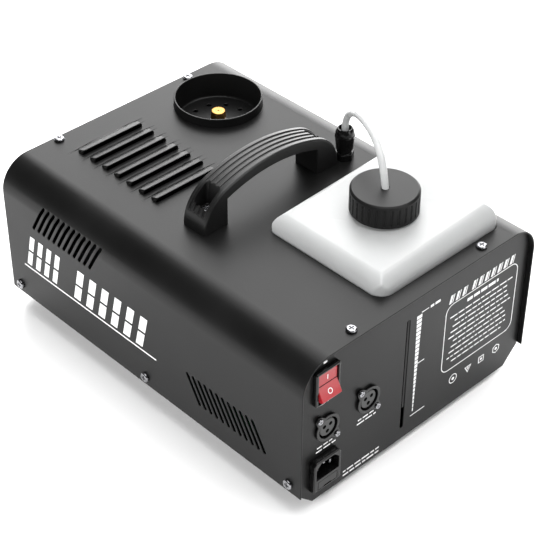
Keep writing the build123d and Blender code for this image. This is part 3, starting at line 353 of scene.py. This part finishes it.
def soften_edges(bm, width, segments, angle=30.0):
    """Round the sharp edges of a closed mesh."""
    sharp = [e for e in bm.edges if len(e.link_faces) == 2 and e.calc_face_angle(0) > math.radians(angle)]
    bmesh.ops.bevel(bm, geom=sharp, offset=width, offset_type="OFFSET", affect="EDGES",
                    segments=segments, profile=0.5, material=-1, clamp_overlap=False)


def softened_copy(node, key, width, segments=2, angle=30.0, reshape=None):
    """A copy of a CAD node with its sharp edges rounded, which then stands for the node."""
    bm = bmesh.new()
    bm.from_mesh(NODES[node].data)
    bmesh.ops.remove_doubles(bm, verts=bm.verts, dist=0.002 * MM)
    soften_edges(bm, width, segments, angle)
    if reshape:
        reshape(bm)
    piece = place_piece(node + "_finished", bm, key, body_of_node(node))
    weighted = piece.modifiers.new("weighted_normals", "WEIGHTED_NORMAL")
    weighted.keep_sharp = True
    weighted.mode = "FACE_AREA"
    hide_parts(node)
    return piece


def dress(node, key):
    """Give a CAD node its material."""
    mesh = NODES[node].data
    mesh.materials.clear()
    mesh.materials.append(finish(key))


# --- Stage -------------------------------------------------------------------------------------

class StageSettings(bpy.types.PropertyGroup):
    camera_place: FloatVectorProperty(
        name="Camera place", description="Where the camera stands, in the object's frame",
        default=(0.7759, -0.7376, 0.9128), subtype="TRANSLATION", unit="LENGTH")
    azimuth: FloatProperty(
        name="Azimuth", description="Turn of the view from +Y towards -X",
        default=math.radians(46.11), subtype="ANGLE")
    elevation: FloatProperty(
        name="Elevation", description="How far the camera looks down",
        default=math.radians(38.18), subtype="ANGLE")
    roll: FloatProperty(
        name="Roll", description="Turn of the camera about its view axis",
        default=math.radians(0.23), subtype="ANGLE")
    lens: FloatProperty(
        name="Lens", description="Focal length in millimetres on a 36 mm sensor",
        default=107.3, min=20, max=300)
    floor_colour: StringProperty(
        name="Floor colour", description="Pale floor, as an sRGB hex value", default="#fdfdfd")
    key_power: FloatProperty(
        name="Key power", description="Power of the large softbox behind the machine",
        default=80.0, unit="POWER")
    top_power: FloatProperty(
        name="Top power", description="Power of the overhead softbox", default=88.0, unit="POWER")
    side_power: FloatProperty(
        name="Side power", description="Power of the strip beside the rear panel",
        default=14.0, unit="POWER")
    low_power: FloatProperty(
        name="Low power", description="Power of the low strip behind the far side",
        default=70.0, unit="POWER")
    fill_power: FloatProperty(
        name="Fill power", description="Power of the matt fill on the camera's side",
        default=80.0, unit="POWER")
    world_level: FloatProperty(
        name="World level", description="Strength of the even light all round", default=0.06, min=0)


def softbox(name, place, target, size, power):
    """A square area light aimed at a point."""
    light = bpy.data.lights.new(name, "AREA")
    light.shape = "RECTANGLE"
    light.size, light.size_y = size
    light.energy = power
    lamp = bpy.data.objects.new(name, light)
    lamp.location = place
    lamp.rotation_euler = (Vector(target) - Vector(place)).to_track_quat("-Z", "Y").to_euler()
    bpy.context.scene.collection.objects.link(lamp)
    return lamp


def floor_piece(colour):
    """A wide matt paper floor, a twentieth of a millimetre below the feet."""
    bm = bmesh.new()
    bmesh.ops.create_grid(bm, x_segments=1, y_segments=1, size=8.0)
    bmesh.ops.translate(bm, verts=bm.verts, vec=(0, 0, -0.05 * MM))
    mesh = bpy.data.meshes.new("paper_floor")
    bm.to_mesh(mesh)
    bm.free()
    material, tree, shader = new_material("matt_background_paper", {"Roughness": 0.9, "IOR": 1.3})
    fibres = noise(tree, 4 * MM, 3.0)
    shader.inputs["Base Color"].default_value = linear(colour)
    bump(tree, shader, fibres, 0.02 * MM)
    mesh.materials.append(material)
    floor = bpy.data.objects.new("paper_floor", mesh)
    bpy.context.scene.collection.objects.link(floor)


class FOG_OT_stage(bpy.types.Operator):
    """Set up the camera, the pale floor and the soft studio light"""
    bl_idname = "fog.stage"
    bl_label = "Stage"

    def execute(self, context):
        settings = context.scene.fog_stage
        camera = bpy.data.cameras.new("camera")
        camera.lens = settings.lens
        camera.sensor_width = 36.0
        camera.clip_start = 0.05
        camera.clip_end = 50.0
        lens = bpy.data.objects.new("camera", camera)
        turn = Euler((math.pi / 2 - settings.elevation, 0, settings.azimuth)).to_matrix()
        turn = turn @ Matrix.Rotation(settings.roll, 3, "Z")
        lens.matrix_world = Matrix.Translation(settings.camera_place) @ turn.to_4x4()
        context.scene.collection.objects.link(lens)
        context.scene.camera = lens
        context.scene.view_settings.view_transform = "Standard"
        world = bpy.data.worlds.new("studio")
        world.use_nodes = True
        background = world.node_tree.nodes["Background"]
        background.inputs["Color"].default_value = linear("#ffffff")
        background.inputs["Strength"].default_value = settings.world_level
        context.scene.world = world
        floor_piece(settings.floor_colour)
        softbox("key_softbox", (-1.5, 1.5, 1.75), (0, 0, 0.1), (2.2, 2.2), settings.key_power)
        softbox("top_softbox", (0.2, 0.4, 2.4), (0, 0, 0), (2.6, 2.6), settings.top_power)
        softbox("side_strip", (2.0, 0.6, 0.9), (0, 0, 0.1), (0.8, 1.6), settings.side_power)
        softbox("low_strip", (-1.5, 2.3, 0.55), (0, 0, 0.1), (3.2, 1.0), settings.low_power)
        fill = softbox("matt_fill", (0.1, -2.4, 1.1), (0, 0, 0.1), (2.6, 2.0), settings.fill_power)
        fill.visible_glossy = False
        return {"FINISHED"}


# --- Hose --------------------------------------------------------------------------------------

# The free hose's route, from the gland's mouth to the cap: distance towards the cap and height
# above the cover, in millimetres.
HOSE_ROUTE = [(-0.4, 28.0), (1.4, 37.5), (8.2, 47.6), (21.0, 57.2), (39.5, 64.2), (60.0, 67.0),
              (79.0, 65.6), (92.2, 57.8), (99.9, 46.6), (106.1, 33.5)]
HOSE_D = 6.0 * MM


def towards_cap(distance, height):
    """A step from the gland towards the cap and upwards, from millimetres."""
    along = Vector((CAP_AXIS.x - GLAND_AXIS.x, CAP_AXIS.y - GLAND_AXIS.y, 0)).normalized()
    return along * distance * MM + Vector((0, 0, height * MM))


def hose_points():
    """The route's points in the frame, in metres."""
    start = Vector((GLAND_AXIS.x, GLAND_AXIS.y, TOP_Z))
    return [start + towards_cap(*step) for step in HOSE_ROUTE]


def route_curve(name, points, radius):
    """A NURBS curve through a cord's points; radius 0 gives its bare line."""
    curve = bpy.data.curves.new(name, "CURVE")
    curve.dimensions = "3D"
    curve.bevel_depth = radius
    curve.bevel_resolution = 8
    curve.resolution_u = 12
    curve.use_fill_caps = radius > 0
    spline = curve.splines.new("NURBS")
    spline.points.add(len(points) - 1)
    for point, place in zip(spline.points, points):
        point.co = (*place, 1.0)
    spline.order_u = 3
    spline.use_endpoint_u = True
    return bpy.data.objects.new(name, curve)


def evaluated_mesh(obj):
    """The mesh of a curve object, which is then removed."""
    bpy.context.scene.collection.objects.link(obj)
    bpy.context.view_layer.update()
    mesh = bpy.data.meshes.new_from_object(obj.evaluated_get(bpy.context.evaluated_depsgraph_get()))
    curve = obj.data
    bpy.data.objects.remove(obj)
    bpy.data.curves.remove(curve)
    return mesh


class FOG_OT_hose(bpy.types.Operator):
    """Make the clear hose between the gland and the tank's cap"""
    bl_idname = "fog.hose"
    bl_label = "Hose"

    def execute(self, context):
        points = hose_points()
        line = evaluated_mesh(route_curve("hose_line", points, 0.0))
        bpy.data.meshes.remove(line)
        mesh = evaluated_mesh(route_curve("hose_tube", points, HOSE_D / 2))
        bm = bmesh.new()
        bm.from_mesh(mesh)
        bpy.data.meshes.remove(mesh)
        bmesh.ops.remove_doubles(bm, verts=bm.verts, dist=0.01 * MM)
        bmesh.ops.recalc_face_normals(bm, faces=bm.faces)
        hose = place_piece("clear_hose", bm, "hose", None, 50.0)
        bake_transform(hose)
        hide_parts("feed_hose")
        return {"FINISHED"}


# --- Housing -----------------------------------------------------------------------------------

class FOG_OT_housing(bpy.types.Operator):
    """Finish the powder-coated sheet metal with softly rounded edges"""
    bl_idname = "fog.housing"
    bl_label = "Housing"

    def execute(self, context):
        softened_copy("cover", "powder", 0.35 * MM)
        softened_copy("rear_panel", "powder", 0.3 * MM)
        softened_copy("front_panel", "powder", 0.3 * MM)
        softened_copy("base_tray", "powder", 0.3 * MM)
        softened_copy("nozzle_cup", "powder", 0.5 * MM)
        softened_copy("nozzle", "brass", 0.35 * MM)
        softened_copy("cover_screws", "nickel", 0.2 * MM)
        softened_copy("rubber_feet", "rubber", 0.6 * MM)
        return {"FINISHED"}


class FOG_OT_handle(bpy.types.Operator):
    """Finish the moulded carrying handle"""
    bl_idname = "fog.handle"
    bl_label = "Handle"

    def execute(self, context):
        softened_copy("handle", "abs", 0.45 * MM, 3)
        softened_copy("handle_screws", "nickel", 0.2 * MM)
        return {"FINISHED"}


class TankSettings(bpy.types.PropertyGroup):
    lean: FloatProperty(
        name="Lean", description="Rise of the tank's top towards the far side, per metre", default=0.05)
    bulge: FloatProperty(
        name="Bulge", description="How much wider the tank swells above the cover", default=0.05)


def swell_tank(bm):
    """Let the blown tank's top rise and swell towards the far side, above the cover only."""
    settings = bpy.context.scene.fog_tank
    shoulder = TANK_TOP - TOP_Z
    for v in bm.verts:
        if v.co.z > TANK_TOP + 0.1 * MM:
            continue
        if v.co.z > TOP_Z:
            v.co.z = TANK_TOP - min((TANK_TOP - v.co.z) * shoulder / SHOULDER_R, shoulder)
        above = max((v.co.z - TOP_Z) / shoulder, 0.0)
        away = v.co.y - CAP_AXIS.y
        aside = v.co.x - CAP_AXIS.x
        v.co.z += above * settings.lean * away
        v.co.y += above * settings.bulge * max(away, 0.0)
        v.co.x += above * settings.bulge * min(aside, 0.0) * 1.0


# Half section of the gland's dome nut: radius and height above its foot, in millimetres.
NUT_SECTION = [(4.3, 0.0), (7.0, 0.0), (7.3, 0.6), (7.7, 6.0), (8.4, 12.0), (8.6, 12.6), (8.6, 14.4),
               (8.2, 15.0), (8.1, 16.6), (7.5, 18.8), (6.7, 20.3), (6.1, 20.9), (5.5, 20.8), (5.1, 20.2),
               (5.0, 18.0), (4.3, 15.4)]
NUT_STEPS = 72


def spun(section, centre, foot, steps):
    """A closed turned piece from its half section, given outwards from the bore's foot."""
    bm = bmesh.new()
    verts = [bm.verts.new((r * MM, 0, z * MM)) for r, z in section]
    edges = [bm.edges.new(pair) for pair in zip(verts, verts[1:] + verts[:1])]
    bmesh.ops.spin(bm, geom=verts + edges, cent=(0, 0, 0), axis=(0, 0, 1), angle=math.tau, steps=steps,
                   use_merge=True)
    bmesh.ops.remove_doubles(bm, verts=bm.verts, dist=0.001 * MM)
    bmesh.ops.recalc_face_normals(bm, faces=bm.faces)
    bmesh.ops.translate(bm, verts=bm.verts, vec=(centre.x, centre.y, foot))
    return bm


def gland_piece():
    """The gland's smooth dome nut with a raised band and a wide mouth."""
    bm = spun(NUT_SECTION, GLAND_AXIS, GLAND_LOW.z, NUT_STEPS)
    nut = place_piece("gland_dome_nut", bm, "gloss", body_of_node("gland_nut"), 28.0)
    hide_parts("gland_nut")


class FOG_OT_tank(bpy.types.Operator):
    """Finish the milky tank, its cap and the gland"""
    bl_idname = "fog.tank"
    bl_label = "Tank, cap and gland"

    def execute(self, context):
        softened_copy("tank", "tank", 1.2 * MM, 3, 20.0, swell_tank)
        softened_copy("tank_cap", "cap", 0.3 * MM)
        gland_piece()
        softened_copy("gland_body", "gloss", 0.3 * MM)
        return {"FINISHED"}


class FOG_OT_panel_fittings(bpy.types.Operator):
    """Finish the switch, the sockets and the mains inlet"""
    bl_idname = "fog.panel_fittings"
    bl_label = "Panel fittings"

    def execute(self, context):
        softened_copy("switch_housing", "gloss", 0.3 * MM)
        softened_copy("switch_rocker", "red", 0.4 * MM)
        for end in "ab":
            softened_copy("socket_shell_" + end, "gloss", 0.3 * MM)
            softened_copy("socket_insert_" + end, "grey", 0.25 * MM)
        softened_copy("socket_screws", "nickel", 0.15 * MM)
        softened_copy("inlet_housing", "gloss", 0.3 * MM)
        softened_copy("inlet_pins", "nickel", 0.2 * MM)
        softened_copy("fuse_drawer", "abs", 0.3 * MM)
        return {"FINISHED"}


# --- Screen printing and painted shade ---------------------------------------------------------

class PrintSettings(bpy.types.PropertyGroup):
    film: FloatProperty(
        name="Film", description="Thickness of the printed ink", default=0.08 * MM, unit="LENGTH")
    stroke: FloatProperty(
        name="Stroke", description="Width of a thin printed line", default=0.8 * MM, unit="LENGTH")


def flat_bar(width, height, corner=0.0):
    """A flat rectangle, in millimetres, with rounded corners if asked."""
    bm = bmesh.new()
    bmesh.ops.create_grid(bm, x_segments=1, y_segments=1, size=0.5)
    bmesh.ops.scale(bm, vec=(width * MM, height * MM, 1), verts=bm.verts)
    if corner:
        bmesh.ops.bevel(bm, geom=bm.verts[:], offset=corner * MM, offset_type="OFFSET",
                        affect="VERTICES", segments=5, profile=0.5, material=-1)
    return bm


# How far a slanted bar leans sideways for its height.
SLANT = 0.25


def slanted_bar(width, height):
    """A flat bar whose ends are level and whose sides lean."""
    bm = flat_bar(width, height)
    for v in bm.verts:
        v.co.x += SLANT * v.co.y
    return bm


def flat_disc(sides, radius):
    """A flat regular polygon; many sides make it round."""
    bm = bmesh.new()
    bmesh.ops.create_circle(bm, cap_ends=True, segments=sides, radius=radius * MM)
    return bm


def open_outline(bm, stroke):
    """Keep only a border of a flat shape."""
    inner = bm.faces[:]
    bmesh.ops.inset_region(bm, faces=inner, thickness=stroke * MM, use_even_offset=True,
                           use_boundary=True)
    bmesh.ops.delete(bm, geom=inner, context="FACES")
    return bm


def stamp(sheet, shape, frame_matrix, u, v, turn=0.0):
    """Give a flat shape the ink's thickness and add it to a printed sheet, at u and v millimetres."""
    film = bpy.context.scene.fog_print.film
    grown = bmesh.ops.extrude_face_region(shape, geom=shape.faces[:])
    raised = [part for part in grown["geom"] if isinstance(part, bmesh.types.BMVert)]
    bmesh.ops.translate(shape, verts=raised, vec=(0, 0, film))
    bmesh.ops.recalc_face_normals(shape, faces=shape.faces)
    place = frame_matrix @ Matrix.Translation((u * MM, v * MM, 0.01 * MM)) @ Matrix.Rotation(turn, 4, "Z")
    bmesh.ops.transform(shape, matrix=place, verts=shape.verts)
    mesh = bpy.data.meshes.new("stamp")
    shape.to_mesh(mesh)
    shape.free()
    sheet.from_mesh(mesh)
    bpy.data.meshes.remove(mesh)


def face_matrix(origin, across, up):
    """The frame of a flat face: its local axes are across, up and outwards."""
    across, up = Vector(across).normalized(), Vector(up).normalized()
    return Matrix.Translation(origin) @ Matrix((across, up, across.cross(up))).transposed().to_4x4()


def dashed_row(sheet, place, start, end, v, height, seed):
    """A row of plain dashes of uneven length, in place of a line of small print."""
    chance = random.Random(seed)
    u = start
    while u < end - 2.0:
        length = min(chance.uniform(2.2, 9.0), end - u)
        stamp(sheet, flat_bar(length, height), place, u + length / 2, v)
        u += length + 1.5


# The side's stripes, in millimetres: each group's start, end and count, and each half's centre and height.
STRIPE_GROUPS = [(-153.0, -107.0, 4), (-90.0, 6.0, 6)]
STRIPE_HALVES = [(69.5, 14.5), (87.0, 15.5)]
STRIPE_MIDDLE = 78.5
STRIPE_SHARE = 0.52  # of the pitch


def side_marks():
    """A row of plain slanted stripes, cut by a stencil gap, over a thin line on the near side."""
    sheet = bmesh.new()
    place = face_matrix((0, SIDE_Y, 0), (1, 0, 0), (0, 0, 1))
    for start, end, count in STRIPE_GROUPS:
        pitch = (end - start) / count
        for i in range(count):
            u = start + (i + 0.5) * pitch
            for v, height in STRIPE_HALVES:
                stripe = slanted_bar(pitch * STRIPE_SHARE, height)
                stamp(sheet, stripe, place, u + SLANT * (v - STRIPE_MIDDLE), v)
    stamp(sheet, flat_bar(173.7, 1.3), place, -72.1, 58.6)
    return sheet


def level_scale(sheet, place):
    """A wedge of short bars beside the level slot, with three marks."""
    top, low, count = 128.5, 28.0, 24
    pitch = (top - low) / count
    for i in range(count):
        part = 1 - i / count
        width = 0.8 + 5.0 * part
        stamp(sheet, flat_bar(width, pitch - 0.9), place, -1.5 + 0.1 * part, top - (i + 0.5) * pitch)
    for u, v, width in ((4.9, 129.6, 8.2), (4.2, 78.0, 7.9), (4.6, 24.3, 17.0)):
        stamp(sheet, flat_bar(width, 0.8), place, u, v)
    dashed_row(sheet, place, 11.0, 23.0, 129.6, 2.4, 3)


def title_bars(sheet, place):
    """Ten pairs of slanted bars, in two groups, in place of a title."""
    pitch, group_gap, v, height = 7.7, 4.0, 122.4, 8.0
    for i in range(10):
        gap = group_gap if i > 2 else 0.0
        stamp(sheet, slanted_bar(2.6, height), place, 35.6 + i * pitch + gap, v)
        stamp(sheet, slanted_bar(0.9, height), place, 38.4 + i * pitch + gap, v)


def framed_notice(sheet, place, stroke):
    """A rounded frame round a headed block of dashes."""
    stamp(sheet, open_outline(flat_bar(88.0, 71.0, 8.5), stroke), place, 74.5, 81.5)
    dashed_row(sheet, place, 56.0, 94.0, 110.5, 3.0, 5)
    row_pitch = 5.35
    for row in range(10):
        indent = 2.0 * ((row * 3) % 4)
        dashed_row(sheet, place, 36.5 + indent, 112.5 - indent, 103.0 - row * row_pitch, 1.2, 20 + row)


def plain_signs(sheet, place, stroke):
    """Four outlined shapes with a small one inside each: place, sides and turn."""
    for u, sides, turn in ((47.1, 40, 0.0), (65.6, 3, math.pi), (82.3, 4, math.pi / 4), (101.2, 6, 0.0)):
        stamp(sheet, open_outline(flat_disc(sides, 4.8), stroke), place, u, 33.2, turn)
        stamp(sheet, flat_disc(sides, 1.6), place, u, 33.2, turn)


def small_captions(sheet, place):
    """Short dashed rows by the inlet, under both sockets and by the switch."""
    for v, start, end in ((14.3, -80.4, -36.9), (10.3, -80.4, -40.0)):
        dashed_row(sheet, place, start, end, v, 1.5, int(v))
    for centre in (-100.8, -56.4):
        for v, half in ((59.5, 9.5), (55.8, 10.5)):
            dashed_row(sheet, place, centre - half, centre + half, v, 1.3, int(v + centre) % 50)
    dashed_row(sheet, place, -106.0, -99.0, 143.0, 2.0, 8)
    dashed_row(sheet, place, -108.0, -99.0, 103.2, 2.0, 9)


def panel_marks():
    """Plain bars, a framed block of dashes and four plain signs on the rear panel."""
    sheet = bmesh.new()
    place = face_matrix((PANEL_X, 0, 0), (0, 1, 0), (0, 0, 1))
    stroke = bpy.context.scene.fog_print.stroke / MM
    level_scale(sheet, place)
    title_bars(sheet, place)
    framed_notice(sheet, place, stroke)
    plain_signs(sheet, place, stroke)
    small_captions(sheet, place)
    return sheet


# The rocker's pivot and the lean of its lower half, then places on its face measured from the pivot.
ROCKER_PIVOT = Vector((172.5, -103.8, 123.0)) * MM
ROCKER_UP = (-0.469, 0, 0.883)
UPPER_MARK = Vector((5.45, 0, 7.4)) * MM
LOWER_MARK = Vector((8.50, 0, -4.45)) * MM
CREASE = Vector((5.43, 0, 1.4)) * MM


def rocker_marks():
    """The bar and ring of an on-off rocker, one on each half of its face."""
    sheet = bmesh.new()
    upper = face_matrix(ROCKER_PIVOT + UPPER_MARK, (0, 1, 0), (0, 0, 1))
    stamp(sheet, flat_bar(0.8, 4.4), upper, 0, 0)
    lower = face_matrix(ROCKER_PIVOT + LOWER_MARK, (0, 1, 0), ROCKER_UP)
    stamp(sheet, open_outline(flat_disc(32, 2.3), 0.65), lower, 0, 0)
    return sheet


def level_slot_painted_shade():
    """A thin black strip behind the level slot: painted shade, a dark line beside the slot in place of the
    shadow of the slot's edge.
    """
    bm = bmesh.new()
    bmesh.ops.create_cube(bm, size=1.0)
    bmesh.ops.scale(bm, vec=(0.8 * MM, 2.5 * MM, 90.2 * MM), verts=bm.verts)
    bmesh.ops.translate(bm, vec=(PANEL_X - 0.9 * MM, -13.0 * MM, 84.6 * MM), verts=bm.verts)
    soften_edges(bm, 0.2 * MM, 2)
    return bm


def rocker_crease_painted_shade():
    """Painted shade: a dark line where the two halves of the rocker's face meet, in place of the shade in
    the fold.
    """
    sheet = bmesh.new()
    place = face_matrix(ROCKER_PIVOT + CREASE, (0, 1, 0), (0, 0, 1))
    stamp(sheet, flat_bar(19.4, 1.3), place, 0, 0)
    return sheet


# The contact holes of a round three-pin socket: angles, their circle's radius and their own, in millimetres.
HOLE_ANGLES = (30, 150, 270)
HOLE_CIRCLE_R = 3.8
HOLE_R = 1.75


def socket_hole_painted_shade():
    """Painted shade: wide dark discs over the mouths of the contact holes in both sockets' inserts, in place
    of the shade inside the holes.
    """
    sheet = bmesh.new()
    place = face_matrix((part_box("socket_insert_a")[1].x, 0, 0), (0, 1, 0), (0, 0, 1))
    for node in ("socket_insert_a", "socket_insert_b"):
        low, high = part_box(node)
        centre = (low + high) / (2 * MM)
        for angle in HOLE_ANGLES:
            turn = math.radians(angle)
            stamp(sheet, flat_disc(24, HOLE_R), place, centre.y + HOLE_CIRCLE_R * math.cos(turn),
                  centre.z + HOLE_CIRCLE_R * math.sin(turn))
    return sheet


class FOG_OT_printing(bpy.types.Operator):
    """Print plain generic marks on the side, the rear panel and the rocker, and add painted shade on the
    rocker's crease, in the socket holes and beside the level slot
    """
    bl_idname = "fog.printing"
    bl_label = "Printing"

    def execute(self, context):
        place_piece("side_print", side_marks(), "ink", "housing")
        place_piece("panel_print", panel_marks(), "ink", "housing")
        place_piece("rocker_print", rocker_marks(), "ink", "rocker")
        # painted shade: a dark unlit strip along the fold of the rocker's face
        place_piece("rocker_crease_painted_shade", rocker_crease_painted_shade(), "bore", "rocker")
        # painted shade: dark unlit discs over the socket inserts' contact holes
        place_piece("socket_hole_painted_shade_discs", socket_hole_painted_shade(), "bore", "housing")
        # painted shade: a black strip behind the level slot gives the dark line of the slot edge's shadow
        place_piece("level_slot_painted_shade", level_slot_painted_shade(), "powder", "housing")
        return {"FINISHED"}


# --- Inner works -------------------------------------------------------------------------------

INNER_FINISHES = {
    "zinc": ["tray_screws", "foot_screws", "foot_nuts", "heater_brackets", "heat_shield", "handle_nuts",
             "tank_shelf", "switch_pivot", "switch_terminals", "socket_contacts", "pump_frame",
             "pump_bracket", "pump_piston", "pump_spring", "transformer", "board_standoffs",
             "heater_inlet", "heater_element", "delivery_pipe"],
    "aluminium": ["heater_block"], "gloss": ["thermostat", "thermal_cutout", "pump_body", "gland_locknut"],
    "foam": ["cap_liner", "tank_pad"], "hose": ["dip_tube", "suction_hose"], "brass": ["filter_weight"],
    "rubber": ["gland_seal", "pump_mounts"], "copper": ["pump_coil"], "board": ["control_board"],
    "component": ["board_parts"], "glass": ["fuse"],
}


class FOG_OT_inner_works(bpy.types.Operator):
    """Give the pieces inside the housing their materials"""
    bl_idname = "fog.inner_works"
    bl_label = "Inner works"

    def execute(self, context):
        for key, nodes in INNER_FINISHES.items():
            for node in nodes:
                dress(node, key)
        return {"FINISHED"}


# --- Panel and registration --------------------------------------------------------------------

OPERATORS = (FOG_OT_stage, FOG_OT_hose, FOG_OT_housing, FOG_OT_handle, FOG_OT_tank,
             FOG_OT_panel_fittings, FOG_OT_printing, FOG_OT_inner_works)
SETTINGS = {"fog_stage": StageSettings, "fog_tank": TankSettings, "fog_print": PrintSettings}


class FOG_PT_panel(bpy.types.Panel):
    """Buttons that build the fog machine, in order"""
    bl_label = "Fog Machine"
    bl_idname = "FOG_PT_panel"
    bl_space_type = "VIEW_3D"
    bl_region_type = "UI"
    bl_category = "Fog Machine"

    def draw(self, context):
        for operator in OPERATORS:
            self.layout.operator(operator.bl_idname)


def register():
    for name, group in SETTINGS.items():
        bpy.utils.register_class(group)
        setattr(bpy.types.Scene, name, PointerProperty(type=group))
    for operator in OPERATORS:
        bpy.utils.register_class(operator)
    bpy.utils.register_class(FOG_PT_panel)


def unregister():
    bpy.utils.unregister_class(FOG_PT_panel)
    for operator in reversed(OPERATORS):
        bpy.utils.unregister_class(operator)
    for name, group in SETTINGS.items():
        delattr(bpy.types.Scene, name)
        bpy.utils.unregister_class(group)


def main():
    register()
    for operator in OPERATORS:
        group, name = operator.bl_idname.split(".")
        getattr(getattr(bpy.ops, group), name)()


if __name__ == "__main__":
    main()
